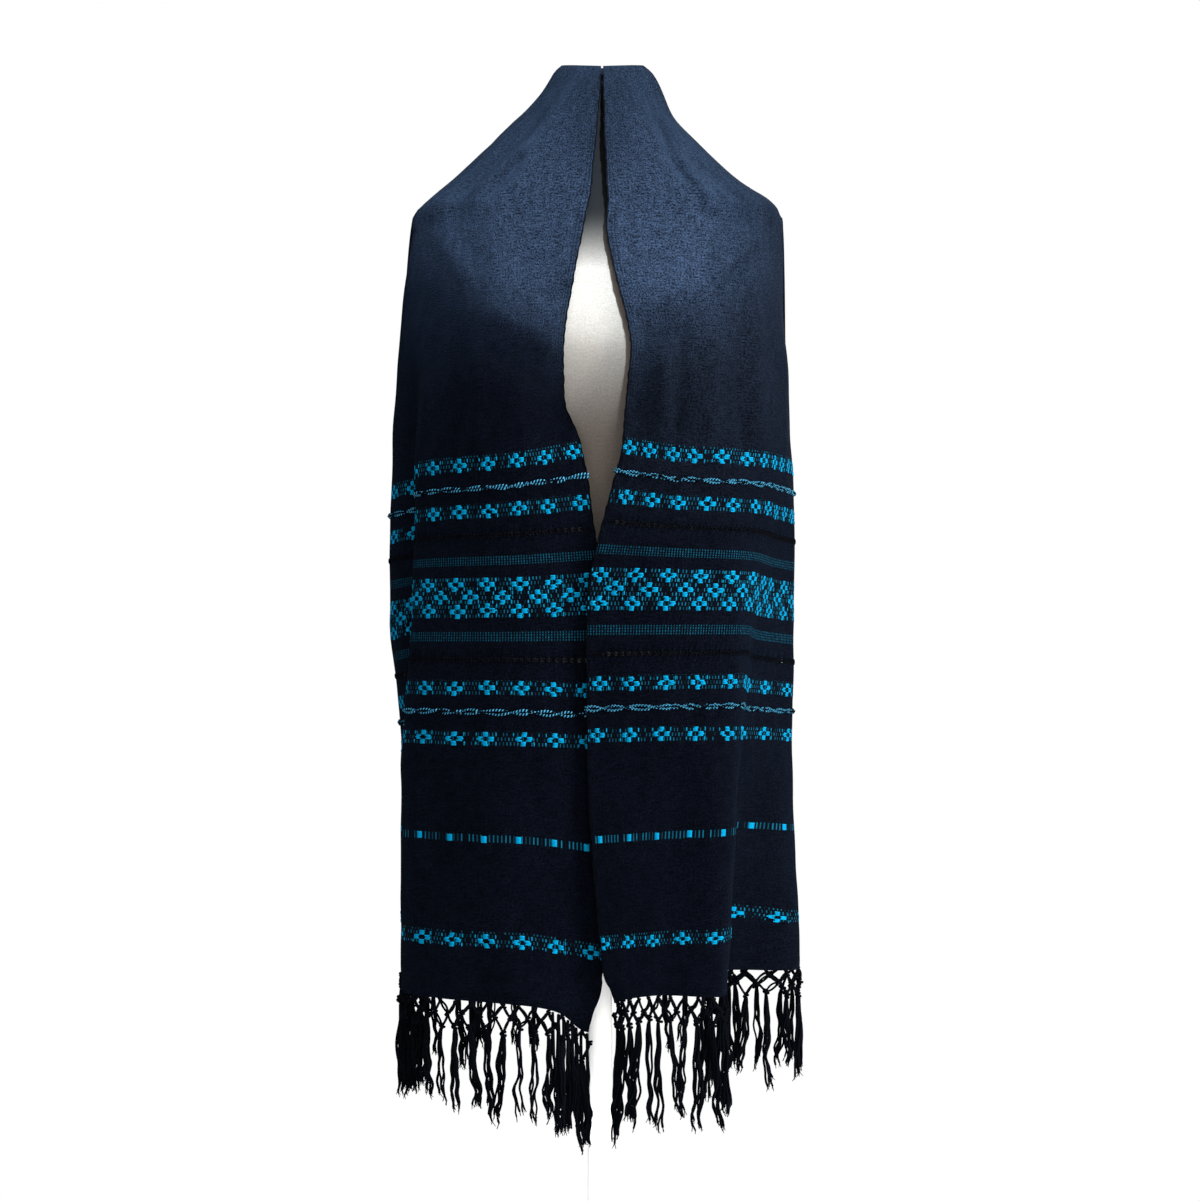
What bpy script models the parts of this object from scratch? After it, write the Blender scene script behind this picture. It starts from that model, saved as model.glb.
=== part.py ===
"""Rebozo shawl worn over the neck and shoulders of a limbless dress form.

The cloth is three thin walls (two front ends and the back stretch), each a
loft through horizontal sections, with a knotted fringe under each front end.
Metres, +Z up. The form faces -Y and the origin is under the middle of its foot.
"""

import math
from collections import namedtuple

import bmesh
import bpy
from mathutils import Vector

# Heights above the floor
NECK_TOP = 1.500             # top of the cloth round the neck
BACK_HEM = 0.890             # lower selvage across the back
RIGHT_HEM = 0.560            # woven end of the wearer's right front
LEFT_HEM = 0.577             # woven end of the wearer's left front
TORSO_BOTTOM = 0.745
FOOT_TOP = 0.014

CLOTH_WALL = 0.0015          # thickness of the shawl's walls
SEAM_GAP = 0.0003            # clearance between neighbouring pieces

POLE_RADIUS = 0.0125
FOOT_RADIUS = 0.185
FOOT_EDGE = 0.004            # rounding of the foot's upper rim
ROUND_SIDES = 48

# Fringe, measured down from the woven end
STRIP_DEPTH = 0.008          # backing strip that the net hangs from
UPPER_KNOTS = 0.018
LOWER_KNOTS = 0.033
STRAND_LENGTH = 0.118        # woven end to strand tips
STRAND_SPREAD = 0.010        # how much the tips' depths differ
FRINGE_PITCH = 0.0150
FRINGE_WALL = 0.0034
CORD_HALF_WIDTH = 0.0021
STRAND_HALF_WIDTH = 0.0019
STRAND_SEGMENTS = 3
STRAND_SWAY = 0.0035         # side to side wander of a strand's tip

# Level sections drawn between the shoulders and each lower edge
FRONT_ROWS_BELOW_SHOULDER = 15
BACK_ROWS_BELOW_SHOULDER = 8
SHOULDER = 1.357             # height of the shoulder ends under the cloth

# The yoke: level sections of the cloth from the neck to the shoulder ends.
Yoke = namedtuple("Yoke", "height right_half left_half front back")
YOKE = [
    Yoke(1.4930, 0.033, 0.037, -0.033, 0.033),      # selvage turned in at the top
    Yoke(NECK_TOP, 0.040, 0.045, -0.041, 0.041),
    Yoke(1.4950, 0.047, 0.053, -0.047, 0.048),
    Yoke(1.4850, 0.054, 0.061, -0.051, 0.053),
    Yoke(1.4570, 0.084, 0.077, -0.058, 0.061),
    Yoke(1.4240, 0.120, 0.108, -0.068, 0.073),
    Yoke(1.3910, 0.154, 0.143, -0.079, 0.085),
    Yoke(1.3700, 0.179, 0.177, -0.087, 0.092),
    Yoke(SHOULDER, 0.194, 0.188, -0.092, 0.096),
]
YOKE_ANGLES = (32.0, 52.0, 67.0, 77.0, 82.0, 85.0, 87.5, 89.9)  # degrees from the front

# Where the front ends' inner selvages run beside the opening.
Selvage = namedtuple("Selvage", "height x y")
RIGHT_SELVAGE = [
    Selvage(NECK_TOP, -0.001, -0.041), Selvage(1.485, -0.001, -0.051),
    Selvage(1.424, -0.004, -0.068), Selvage(SHOULDER, -0.010, -0.092),
]
LEFT_SELVAGE = [
    Selvage(NECK_TOP, 0.004, -0.041), Selvage(1.485, 0.004, -0.051),
    Selvage(1.424, 0.005, -0.068), Selvage(SHOULDER, 0.008, -0.092),
]

# The hanging ends: plan positions of nine stations on each level section.
# edge: inner selvage, breast: middle of the front, corner: where the front
# turns back, valley: bottom of the fold behind it, side: outermost part,
# heel: back corner, tuck and ridge: the pipe fold at the back, end: outer
# selvage, under the back stretch.
Hang = namedtuple("Hang", "height edge breast corner valley side heel tuck ridge end")
RIGHT_HANG = [
    Hang(1.345, (-0.013, -0.098), (-0.099, -0.083), (-0.149, -0.060), (-0.178, -0.036),
         (-0.193, -0.016), (-0.1905, -0.007), (-0.1897, -0.005), (-0.1889, -0.003), (-0.188, -0.001)),
    Hang(1.330, (-0.016, -0.105), (-0.099, -0.089), (-0.150, -0.062), (-0.180, -0.036),
         (-0.195, -0.014), (-0.1905, -0.002), (-0.1892, 0.001), (-0.1878, 0.005), (-0.1865, 0.008)),
    Hang(1.300, (-0.021, -0.117), (-0.098, -0.103), (-0.154, -0.066), (-0.184, -0.038),
         (-0.199, -0.014), (-0.192, 0.006), (-0.189, 0.011), (-0.186, 0.017), (-0.183, 0.022)),
    Hang(1.255, (-0.029, -0.134), (-0.097, -0.126), (-0.161, -0.081), (-0.188, -0.046),
         (-0.205, -0.016), (-0.195, 0.014), (-0.190, 0.022), (-0.185, 0.030), (-0.179, 0.038)),
    Hang(1.205, (-0.035, -0.149), (-0.096, -0.149), (-0.168, -0.098), (-0.190, -0.060),
         (-0.209, -0.018), (-0.198, 0.020), (-0.192, 0.031), (-0.185, 0.042), (-0.177, 0.052)),
    Hang(1.150, (-0.034, -0.156), (-0.094, -0.158), (-0.176, -0.107), (-0.183, -0.068),
         (-0.212, -0.018), (-0.201, 0.024), (-0.193, 0.037), (-0.184, 0.051), (-0.173, 0.064)),
    Hang(1.110, (-0.019, -0.158), (-0.092, -0.160), (-0.180, -0.109), (-0.177, -0.069),
         (-0.214, -0.018), (-0.203, 0.026), (-0.193, 0.041), (-0.183, 0.057), (-0.170, 0.072)),
    Hang(1.030, (-0.006, -0.156), (-0.090, -0.159), (-0.182, -0.111), (-0.174, -0.068),
         (-0.217, -0.018), (-0.206, 0.028), (-0.189, 0.046), (-0.176, 0.074), (-0.156, 0.092)),
    Hang(0.950, (0.002, -0.153), (-0.088, -0.158), (-0.185, -0.111), (-0.173, -0.066),
         (-0.217, -0.018), (-0.206, 0.030), (-0.182, 0.046), (-0.165, 0.094), (-0.126, 0.108)),
    Hang(0.800, (0.002, -0.152), (-0.088, -0.156), (-0.193, -0.109), (-0.178, -0.062),
         (-0.205, -0.010), (-0.197, 0.036), (-0.163, 0.046), (-0.142, 0.112), (-0.086, 0.116)),
    Hang(0.680, (0.000, -0.151), (-0.088, -0.156), (-0.195, -0.108), (-0.176, -0.060),
         (-0.204, -0.006), (-0.196, 0.042), (-0.154, 0.046), (-0.132, 0.122), (-0.072, 0.122)),
    Hang(RIGHT_HEM, (-0.003, -0.150), (-0.088, -0.157), (-0.197, -0.105), (-0.174, -0.058),
         (-0.206, -0.002), (-0.198, 0.046), (-0.146, 0.046), (-0.126, 0.128), (-0.062, 0.128)),
]
LEFT_HANG = [
    Hang(1.345, (0.007, -0.098), (0.096, -0.083), (0.144, -0.060), (0.172, -0.036),
         (0.1865, -0.016), (0.1845, -0.007), (0.1837, -0.005), (0.1829, -0.003), (0.182, -0.001)),
    Hang(1.330, (0.006, -0.105), (0.096, -0.089), (0.145, -0.062), (0.173, -0.036),
         (0.1875, -0.014), (0.1835, -0.002), (0.1822, 0.001), (0.1808, 0.005), (0.1795, 0.008)),
    Hang(1.300, (0.010, -0.119), (0.095, -0.103), (0.148, -0.066), (0.175, -0.038),
         (0.189, -0.014), (0.1825, 0.006), (0.1797, 0.011), (0.1768, 0.017), (0.174, 0.022)),
    Hang(1.255, (0.020, -0.137), (0.094, -0.126), (0.151, -0.081), (0.177, -0.048),
         (0.190, -0.016), (0.182, 0.014), (0.178, 0.022), (0.174, 0.030), (0.169, 0.038)),
    Hang(1.205, (0.030, -0.152), (0.093, -0.149), (0.154, -0.100), (0.180, -0.060),
         (0.193, -0.018), (0.184, 0.020), (0.179, 0.031), (0.173, 0.042), (0.166, 0.052)),
    Hang(1.150, (0.025, -0.160), (0.090, -0.160), (0.155, -0.113), (0.182, -0.067),
         (0.196, -0.018), (0.186, 0.024), (0.180, 0.037), (0.172, 0.051), (0.162, 0.064)),
    Hang(1.110, (0.022, -0.163), (0.088, -0.163), (0.154, -0.119), (0.182, -0.070),
         (0.1975, -0.018), (0.187, 0.026), (0.179, 0.041), (0.170, 0.057), (0.158, 0.072)),
    Hang(1.030, (0.002, -0.166), (0.082, -0.165), (0.149, -0.129), (0.174, -0.074),
         (0.200, -0.018), (0.188, 0.028), (0.174, 0.048), (0.164, 0.074), (0.146, 0.092)),
    Hang(0.950, (-0.013, -0.167), (0.075, -0.166), (0.141, -0.138), (0.162, -0.078),
         (0.200, -0.014), (0.189, 0.032), (0.168, 0.049), (0.156, 0.094), (0.120, 0.108)),
    Hang(0.800, (-0.012, -0.166), (0.066, -0.165), (0.130, -0.147), (0.143, -0.082),
         (0.200, -0.006), (0.190, 0.040), (0.156, 0.052), (0.138, 0.112), (0.080, 0.116)),
    Hang(0.680, (-0.003, -0.165), (0.060, -0.165), (0.125, -0.153), (0.121, -0.072),
         (0.203, 0.002), (0.193, 0.048), (0.152, 0.056), (0.130, 0.122), (0.066, 0.122)),
    Hang(LEFT_HEM, (0.005, -0.163), (0.060, -0.165), (0.121, -0.156), (0.106, -0.052),
         (0.205, 0.006), (0.196, 0.052), (0.148, 0.058), (0.124, 0.128), (0.058, 0.128)),
]
FRONT_SPAN_COLUMNS = (4, 4, 4, 3, 2, 2, 3, 3)   # columns between neighbouring stations

# The back stretch: fold edges at the sides, back corners, shoulder blades, spine.
Back = namedtuple("Back", "height right_fold right_corner left_fold left_corner blade spine")
BACK_HANG = [
    Back(1.345, (-0.1965, 0.001), (-0.176, 0.054), (0.1905, 0.001), (0.170, 0.054), 0.091, 0.100),
    Back(1.300, (-0.2015, 0.006), (-0.184, 0.064), (0.1925, 0.006), (0.176, 0.064), 0.105, 0.113),
    Back(1.205, (-0.2080, 0.014), (-0.190, 0.078), (0.1945, 0.014), (0.180, 0.078), 0.124, 0.129),
    Back(1.110, (-0.2130, 0.018), (-0.194, 0.090), (0.1980, 0.018), (0.184, 0.090), 0.132, 0.134),
    Back(1.000, (-0.2165, 0.020), (-0.197, 0.100), (0.2005, 0.020), (0.187, 0.100), 0.138, 0.136),
    Back(BACK_HEM, (-0.2150, 0.022), (-0.196, 0.108), (0.2010, 0.022), (0.188, 0.108), 0.143, 0.139),
]
BLADE_X = 0.095
BACK_SPAN_COLUMNS = (4, 3, 3)               # fold to corner, corner to blade, blade to spine

# The torso: level sections from the neck to the hip line.
Ring = namedtuple("Ring", "height half front back")
TORSO_RINGS = [
    Ring(1.4900, 0.034, -0.033, 0.033),
    Ring(1.4860, 0.041, -0.041, 0.041),
    Ring(1.4720, 0.044, -0.044, 0.044),
    Ring(1.4400, 0.050, -0.048, 0.048),
    Ring(1.4150, 0.074, -0.056, 0.056),
    Ring(1.3850, 0.120, -0.067, 0.068),
    Ring(1.3600, 0.158, -0.077, 0.078),
    Ring(1.3350, 0.173, -0.090, 0.086),
    Ring(1.2900, 0.175, -0.109, 0.094),
    Ring(1.2350, 0.168, -0.129, 0.099),
    Ring(1.1950, 0.162, -0.134, 0.099),
    Ring(1.1400, 0.152, -0.124, 0.095),
    Ring(1.0700, 0.138, -0.106, 0.086),
    Ring(0.9950, 0.130, -0.094, 0.080),
    Ring(0.9100, 0.142, -0.099, 0.091),
    Ring(0.8300, 0.156, -0.105, 0.103),
    Ring(0.7600, 0.158, -0.105, 0.106),
    Ring(TORSO_BOTTOM, 0.152, -0.099, 0.100),
]
TORSO_SIDES = 32
TORSO_ROUNDNESS = 2.15       # superellipse exponent of a torso section


# Collections and materials

def new_collection(name):
    """Make a collection in the scene."""
    collection = bpy.data.collections.new(name)
    bpy.context.scene.collection.children.link(collection)
    return collection


def new_material(name, colour, roughness, metallic=0.0):
    """Make a Principled material of one colour."""
    material = bpy.data.materials.new(name)
    material.use_nodes = True
    shader = material.node_tree.nodes["Principled BSDF"]
    shader.inputs["Base Color"].default_value = (*colour, 1.0)
    shader.inputs["Roughness"].default_value = roughness
    shader.inputs["Metallic"].default_value = metallic
    return material


def place(obj, name, collection, material):
    """Name an object, give it its material and move it to its collection."""
    obj.name = name
    obj.data.name = name
    obj.data.materials.append(material)
    for owner in list(obj.users_collection):
        owner.objects.unlink(obj)
    collection.objects.link(obj)
    return obj


def object_from_bmesh(mesh_builder, name, collection, material):
    """Turn a bmesh into a placed object."""
    mesh = bpy.data.meshes.new(name)
    mesh_builder.to_mesh(mesh)
    mesh_builder.free()
    obj = bpy.data.objects.new(name, mesh)
    return place(obj, name, collection, material)


# Smooth curves

def steady_value(knots, values, at):
    """Read a curve through values at rising knots that never overshoots them."""
    last = len(knots) - 1
    if at <= knots[0]:
        return values[0]
    if at >= knots[last]:
        return values[last]
    steps = [knots[i + 1] - knots[i] for i in range(last)]
    slopes = [(values[i + 1] - values[i]) / steps[i] for i in range(last)]
    tangents = [slopes[0]]
    for i in range(1, last):
        if slopes[i - 1] * slopes[i] <= 0.0:
            tangents.append(0.0)
        else:
            before = 2.0 * steps[i] + steps[i - 1]
            after = steps[i] + 2.0 * steps[i - 1]
            tangents.append((before + after) / (before / slopes[i - 1] + after / slopes[i]))
    tangents.append(slopes[-1])
    i = max(k for k in range(last) if knots[k] <= at)
    t = (at - knots[i]) / steps[i]
    rise = (3.0 - 2.0 * t) * t * t
    return (values[i] * (1.0 - rise) + values[i + 1] * rise
            + steps[i] * t * (1.0 - t) * (tangents[i] * (1.0 - t) - tangents[i + 1] * t))


def rounded_section(stations, span_columns):
    """Draw a smooth plan curve through stations, with set columns in each span."""
    ahead = [stations[0] * 2.0 - stations[1]] + stations + [stations[-1] * 2.0 - stations[-2]]
    points = [stations[0]]
    for span, columns in enumerate(span_columns):
        p0, p1, p2, p3 = ahead[span:span + 4]
        reach = (p2 - p1).length
        into = (p2 - p0).normalized() * reach
        out = (p3 - p1).normalized() * reach
        for column in range(1, columns + 1):
            t = column / columns
            ease = t * t * (3.0 - 2.0 * t)
            points.append(p1 * (1.0 - ease) + p2 * ease
                          + into * (t * (1.0 - t) ** 2) - out * (t * t * (1.0 - t)))
    return points


def table_point(rows, field, height):
    """Read a station's plan position from a table of falling heights."""
    rising = rows[::-1]
    knots = [row.height for row in rising]
    return Vector([steady_value(knots, [getattr(row, field)[axis] for row in rising], height)
                   for axis in (0, 1)])


# Stations on the cloth's sections

def yoke_stations(row, selvage, side):
    """Place a front end's stations on a yoke section; side is -1 right, 1 left."""
    half = row.right_half if side < 0 else row.left_half
    top = selvage[::-1]
    knots = [spot.height for spot in top]
    edge_x = steady_value(knots, [spot.x for spot in top], row.height)
    stations = [Vector((edge_x, row.front))]
    for angle in YOKE_ANGLES:
        turn = math.radians(angle)
        stations.append(Vector((side * half * math.sin(turn), row.front * math.cos(turn))))
    return stations


def hang_stations(table, height):
    """Place a front end's stations on a section of its hanging part."""
    return [table_point(table, field, height) for field in Hang._fields[1:]]


def back_yoke_stations(row):
    """Place the back stretch's stations on a yoke section, right to left."""
    blade = math.radians(60.0)
    corner = math.radians(25.0)
    right = [Vector((-row.right_half, SEAM_GAP)),
             Vector((-row.right_half * math.cos(corner), row.back * math.sin(corner))),
             Vector((-row.right_half * math.cos(blade), row.back * math.sin(blade)))]
    left = [Vector((row.left_half * math.cos(blade), row.back * math.sin(blade))),
            Vector((row.left_half * math.cos(corner), row.back * math.sin(corner))),
            Vector((row.left_half, SEAM_GAP))]
    return right + [Vector((0.0, row.back))] + left


def back_hang_stations(height):
    """Place the back stretch's stations on a section of its hanging part."""
    rising = BACK_HANG[::-1]
    knots = [row.height for row in rising]
    blade = steady_value(knots, [row.blade for row in rising], height)
    spine = steady_value(knots, [row.spine for row in rising], height)
    return [table_point(BACK_HANG, "right_fold", height), table_point(BACK_HANG, "right_corner", height),
            Vector((-BLADE_X, blade)), Vector((0.0, spine)), Vector((BLADE_X, blade)),
            table_point(BACK_HANG, "left_corner", height), table_point(BACK_HANG, "left_fold", height)]


# Walls

def spaced(high, low, count):
    """Give evenly spaced values from high down to low, without high itself."""
    return [high + (low - high) * (i + 1) / count for i in range(count)]


def wall_from_sections(sections, name, collection, material, flip):
    """Loft a grid through (height, plan points) sections and give it the cloth's wall."""
    builder = bmesh.new()
    grid = [[builder.verts.new((point.x, point.y, height)) for point in points]
            for height, points in sections]
    for upper, lower in zip(grid, grid[1:]):
        for i in range(len(upper) - 1):
            corners = (upper[i], lower[i], lower[i + 1], upper[i + 1])
            builder.faces.new(corners[::-1] if flip else corners)
    cloth = object_from_bmesh(builder, name, collection, material)
    cloth.data.shade_smooth()
    wall = cloth.modifiers.new("Wall", 'SOLIDIFY')
    wall.thickness = CLOTH_WALL
    wall.offset = -1.0
    wall.use_even_offset = True
    return cloth


def front_sections(table, selvage, side, hem):
    """List a front end's sections from the neck to its woven end."""
    sections = [(row.height, rounded_section(yoke_stations(row, selvage, side), FRONT_SPAN_COLUMNS))
                for row in YOKE]
    heights = [table[0].height, table[1].height]
    heights += spaced(table[1].height, hem, FRONT_ROWS_BELOW_SHOULDER)
    for height in heights:
        sections.append((height, rounded_section(hang_stations(table, height), FRONT_SPAN_COLUMNS)))
    return sections


def back_sections():
    """List the back stretch's sections from the neck to its lower selvage."""
    spans = BACK_SPAN_COLUMNS + BACK_SPAN_COLUMNS[::-1]
    sections = [(row.height, rounded_section(back_yoke_stations(row), spans)) for row in YOKE]
    heights = [BACK_HANG[0].height] + spaced(BACK_HANG[0].height, BACK_HEM, BACK_ROWS_BELOW_SHOULDER)
    for height in heights:
        sections.append((height, rounded_section(back_hang_stations(height), spans)))
    return sections


# Fringe

class HemLine:
    """Arc-length reader of a woven end's plan curve."""

    def __init__(self, points):
        self.points = points
        self.marks = [0.0]
        for start, stop in zip(points, points[1:]):
            self.marks.append(self.marks[-1] + (stop - start).length)
        self.length = self.marks[-1]

    def at(self, distance):
        """Give the plan point and the unit direction at a distance along the hem."""
        along = min(max(distance, 0.0), self.length)
        i = max(k for k in range(len(self.points) - 1) if self.marks[k] <= along)
        start, stop = self.points[i], self.points[i + 1]
        share = (along - self.marks[i]) / (self.marks[i + 1] - self.marks[i])
        direction = (stop - start).normalized()
        spare = distance - along
        return start.lerp(stop, share) + direction * spare, direction


def fringe_node(name, hem_points, hem, side, collection, material):
    """Model a backing strip, two rows of knots and hanging strands as one thick sheet."""
    line = HemLine(hem_points)
    count = round(line.length / FRINGE_PITCH)
    pitch = line.length / count
    builder = bmesh.new()

    def vert(along, depth, out=0.0):
        point, direction = line.at(along)
        outward = Vector((direction.y, -direction.x)) * -side
        spot = point + outward * (out - CLOTH_WALL / 2.0)
        return builder.verts.new((spot.x, spot.y, hem - SEAM_GAP - depth))

    def face(*corners):
        builder.faces.new(corners if side > 0 else corners[::-1])

    knot = CORD_HALF_WIDTH * 1.4
    uppers = []
    for i in range(count + 1):
        at = min(max(i * pitch, knot), line.length - knot)
        top, bottom = vert(at, UPPER_KNOTS - knot), vert(at, UPPER_KNOTS + knot)
        before, after = vert(at - knot, UPPER_KNOTS), vert(at + knot, UPPER_KNOTS)
        face(top, before, bottom, after)
        uppers.append((top, before, bottom, after))

    high, low = vert(0.0, 0.0), vert(0.0, STRIP_DEPTH)
    for i in range(count):
        middle = (i + 0.5) * pitch
        next_high = vert((i + 1) * pitch, 0.0)
        next_low = vert((i + 1) * pitch, STRIP_DEPTH)
        root = [vert(middle + offset, STRIP_DEPTH)
                for offset in (-CORD_HALF_WIDTH * 1.3, 0.0, CORD_HALF_WIDTH * 1.3)]
        face(high, low, *root, next_low, next_high)
        top, before, bottom, after = uppers[i]
        top_2, before_2, bottom_2, after_2 = uppers[i + 1]
        face(root[0], top, after, root[1])
        face(root[1], before_2, top_2, root[2])
        peak = vert(middle, LOWER_KNOTS - knot)
        left, right = vert(middle - knot, LOWER_KNOTS), vert(middle + knot, LOWER_KNOTS)
        face(after, bottom, left, peak)
        face(before_2, peak, right, bottom_2)
        foot = [vert(middle - STRAND_HALF_WIDTH, LOWER_KNOTS + knot),
                vert(middle + STRAND_HALF_WIDTH, LOWER_KNOTS + knot)]
        face(peak, left, foot[0], foot[1], right)
        tip = STRAND_LENGTH + STRAND_SPREAD * math.sin(2.4 * i + 0.7 * side)
        for segment in range(1, STRAND_SEGMENTS + 1):
            share = segment / STRAND_SEGMENTS
            depth = LOWER_KNOTS + knot + (tip - LOWER_KNOTS - knot) * share
            drift = STRAND_SWAY * share * math.sin(1.7 * i + 3.1 * share)
            out = STRAND_SWAY * share * math.cos(2.3 * i + 1.9 * share)
            step = [vert(middle - STRAND_HALF_WIDTH + drift, depth, out),
                    vert(middle + STRAND_HALF_WIDTH + drift, depth, out)]
            face(foot[0], step[0], step[1], foot[1])
            foot = step
        high, low = next_high, next_low

    fringe = object_from_bmesh(builder, name, collection, material)
    wall = fringe.modifiers.new("Cord", 'SOLIDIFY')
    wall.thickness = FRINGE_WALL
    wall.offset = 0.0
    return fringe


# Dress form and stand

def torso_node(collection, material):
    """Loft the torso's closed body through its rings."""
    builder = bmesh.new()
    loops = []
    for ring in TORSO_RINGS:
        loop = []
        for i in range(TORSO_SIDES):
            turn = 2.0 * math.pi * i / TORSO_SIDES
            across, along = math.cos(turn), math.sin(turn)
            x = math.copysign(abs(across) ** (2.0 / TORSO_ROUNDNESS), across) * ring.half
            depth = ring.back if along > 0.0 else -ring.front
            y = math.copysign(abs(along) ** (2.0 / TORSO_ROUNDNESS), along) * depth
            loop.append(builder.verts.new((x, y, ring.height)))
        loops.append(loop)
    for upper, lower in zip(loops, loops[1:]):
        for i in range(TORSO_SIDES):
            after = (i + 1) % TORSO_SIDES
            builder.faces.new((upper[i], lower[i], lower[after], upper[after]))
    builder.faces.new(loops[0])
    builder.faces.new(loops[-1][::-1])
    torso = object_from_bmesh(builder, "dress_form_torso", collection, material)
    torso.data.shade_smooth()
    return torso


def foot_node(collection, material):
    """Turn the round foot from half its outline."""
    builder = bmesh.new()
    outline = [(0.0, FOOT_TOP), (FOOT_RADIUS - FOOT_EDGE, FOOT_TOP - FOOT_EDGE),
               (FOOT_RADIUS, FOOT_TOP - 2.0 * FOOT_EDGE), (FOOT_RADIUS, 0.0), (0.0, 0.0)]
    verts = [builder.verts.new((x, 0.0, z)) for x, z in outline]
    for start, stop in zip(verts, verts[1:]):
        builder.edges.new((start, stop))
    foot = object_from_bmesh(builder, "stand_base", collection, material)
    turn = foot.modifiers.new("Turn", 'SCREW')
    turn.steps = ROUND_SIDES
    turn.render_steps = ROUND_SIDES
    turn.use_merge_vertices = True
    turn.merge_threshold = 0.0001
    return foot


def pole_node(collection, material):
    """Stand the pole between the foot and the torso."""
    bottom = FOOT_TOP + SEAM_GAP
    top = TORSO_BOTTOM - SEAM_GAP
    bpy.ops.mesh.primitive_cylinder_add(vertices=ROUND_SIDES // 2, radius=POLE_RADIUS,
                                        depth=top - bottom, location=(0.0, 0.0, (top + bottom) / 2.0))
    return place(bpy.context.active_object, "stand_pole", collection, material)


def build():
    """Model the whole object."""
    for old in list(bpy.data.objects):
        bpy.data.objects.remove(old, do_unlink=True)
    collection = new_collection("rebozo_on_dress_form")
    cotton = new_material("Navy black cotton", (0.011, 0.017, 0.030), 0.95)
    linen = new_material("Natural linen", (0.56, 0.50, 0.42), 0.90)
    paint = new_material("White paint", (0.85, 0.85, 0.84), 0.45)

    right = front_sections(RIGHT_HANG, RIGHT_SELVAGE, -1, RIGHT_HEM)
    left = front_sections(LEFT_HANG, LEFT_SELVAGE, 1, LEFT_HEM)
    wall_from_sections(right, "shawl_right_front", collection, cotton, flip=True)
    wall_from_sections(left, "shawl_left_front", collection, cotton, flip=False)
    wall_from_sections(back_sections(), "shawl_back", collection, cotton, flip=True)
    fringe_node("fringe_right", right[-1][1], RIGHT_HEM, -1, collection, cotton)
    fringe_node("fringe_left", left[-1][1], LEFT_HEM, 1, collection, cotton)
    torso_node(collection, linen)
    pole_node(collection, paint)
    foot_node(collection, paint)


build()
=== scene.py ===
"""Looks of a hand-woven rebozo worn on a limbless, linen-covered dress form.

One continuous cloth hangs over the neck and shoulders. Brocade yarns, rope
lines, openwork threads, selvages and knotted fringes are laid on its surface.
Metres, +Z up; the form faces -Y and +X is the wearer's left.
"""

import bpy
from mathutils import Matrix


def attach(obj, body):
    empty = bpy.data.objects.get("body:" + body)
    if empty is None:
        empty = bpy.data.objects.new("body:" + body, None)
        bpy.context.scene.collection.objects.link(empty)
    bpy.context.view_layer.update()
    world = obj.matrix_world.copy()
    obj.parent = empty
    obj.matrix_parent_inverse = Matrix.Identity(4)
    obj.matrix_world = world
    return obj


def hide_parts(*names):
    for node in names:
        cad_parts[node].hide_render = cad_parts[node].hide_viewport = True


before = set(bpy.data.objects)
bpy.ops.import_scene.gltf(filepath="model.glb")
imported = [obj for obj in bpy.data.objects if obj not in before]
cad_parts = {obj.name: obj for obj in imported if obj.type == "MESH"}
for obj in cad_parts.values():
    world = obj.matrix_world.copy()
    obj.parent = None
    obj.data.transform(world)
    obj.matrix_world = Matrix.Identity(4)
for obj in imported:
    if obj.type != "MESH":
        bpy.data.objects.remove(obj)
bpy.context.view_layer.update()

import logging
import math
from dataclasses import dataclass, field
from enum import Enum

import bmesh
import bpy
import numpy as np
from bpy.types import Material, Node, NodeSocket, NodeTree, Object
from mathutils import Vector
from numpy.random import Generator

LOG = logging.getLogger("rebozo")
Array = np.ndarray
Colour = tuple[float, float, float]
MM = 0.001
TURN = 2.0 * math.pi
TINY = 1e-12                 # keeps a division by a length safe
UP = np.array([0.0, 0.0, 1.0])
LEVEL = np.array([1.0, 1.0, 0.0])            # keeps a direction level
NOISE_WAVES = 14
NOISE_STRETCH = 0.55         # how much longer the waves are down than across
SPAN_POINTS = 25             # fine points between two stations of a plan curve
COLUMN_EASING = 3            # passes that round the drape across
LEVEL_EASING = 10            # and down

# Heights above the floor
NECK_TOP = 1.500
LIP_KNOT = 1.507             # the turned-in selvage, counted past the crest
RIGHT_HEM = 0.560
LEFT_HEM = 0.577
BACK_HEM = 0.890
SHOULDER = 1.357
UNDER_HEM = 0.030            # how far the drape runs on below a hem


class Side(Enum):
    """The wearer's two sides, with the sign of X."""

    RIGHT = -1
    LEFT = 1


class Inlay(Enum):
    """Kinds of woven band, with the mark that the cloth's finish reads."""

    DASHES = 0.25
    CHECKS = 0.50
    MOTIFS = 0.75


# Shape of the drape, as measured for the solids

@dataclass(frozen=True)
class Yoke:
    """A level section of the cloth between the neck and the shoulder ends."""

    height: float
    right_half: float
    left_half: float
    front: float
    back: float

    @property
    def knot(self) -> float:
        """Height marker that keeps rising past the crest of the neck."""
        return LIP_KNOT if self.height < NECK_TOP and self.right_half < 0.036 else self.height


YOKE = tuple(Yoke(*row) for row in (
    (1.4930, 0.033, 0.037, -0.033, 0.033),
    (1.5000, 0.040, 0.045, -0.041, 0.041),
    (1.4950, 0.047, 0.053, -0.047, 0.048),
    (1.4850, 0.054, 0.061, -0.051, 0.053),
    (1.4570, 0.084, 0.077, -0.058, 0.061),
    (1.4240, 0.120, 0.108, -0.068, 0.073),
    (1.3910, 0.154, 0.143, -0.079, 0.085),
    (1.3700, 0.179, 0.177, -0.087, 0.092),
    (1.3570, 0.194, 0.188, -0.092, 0.096),
))
YOKE_ANGLES = (32.0, 52.0, 67.0, 77.0, 82.0, 85.0, 87.5, 89.9)

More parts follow.
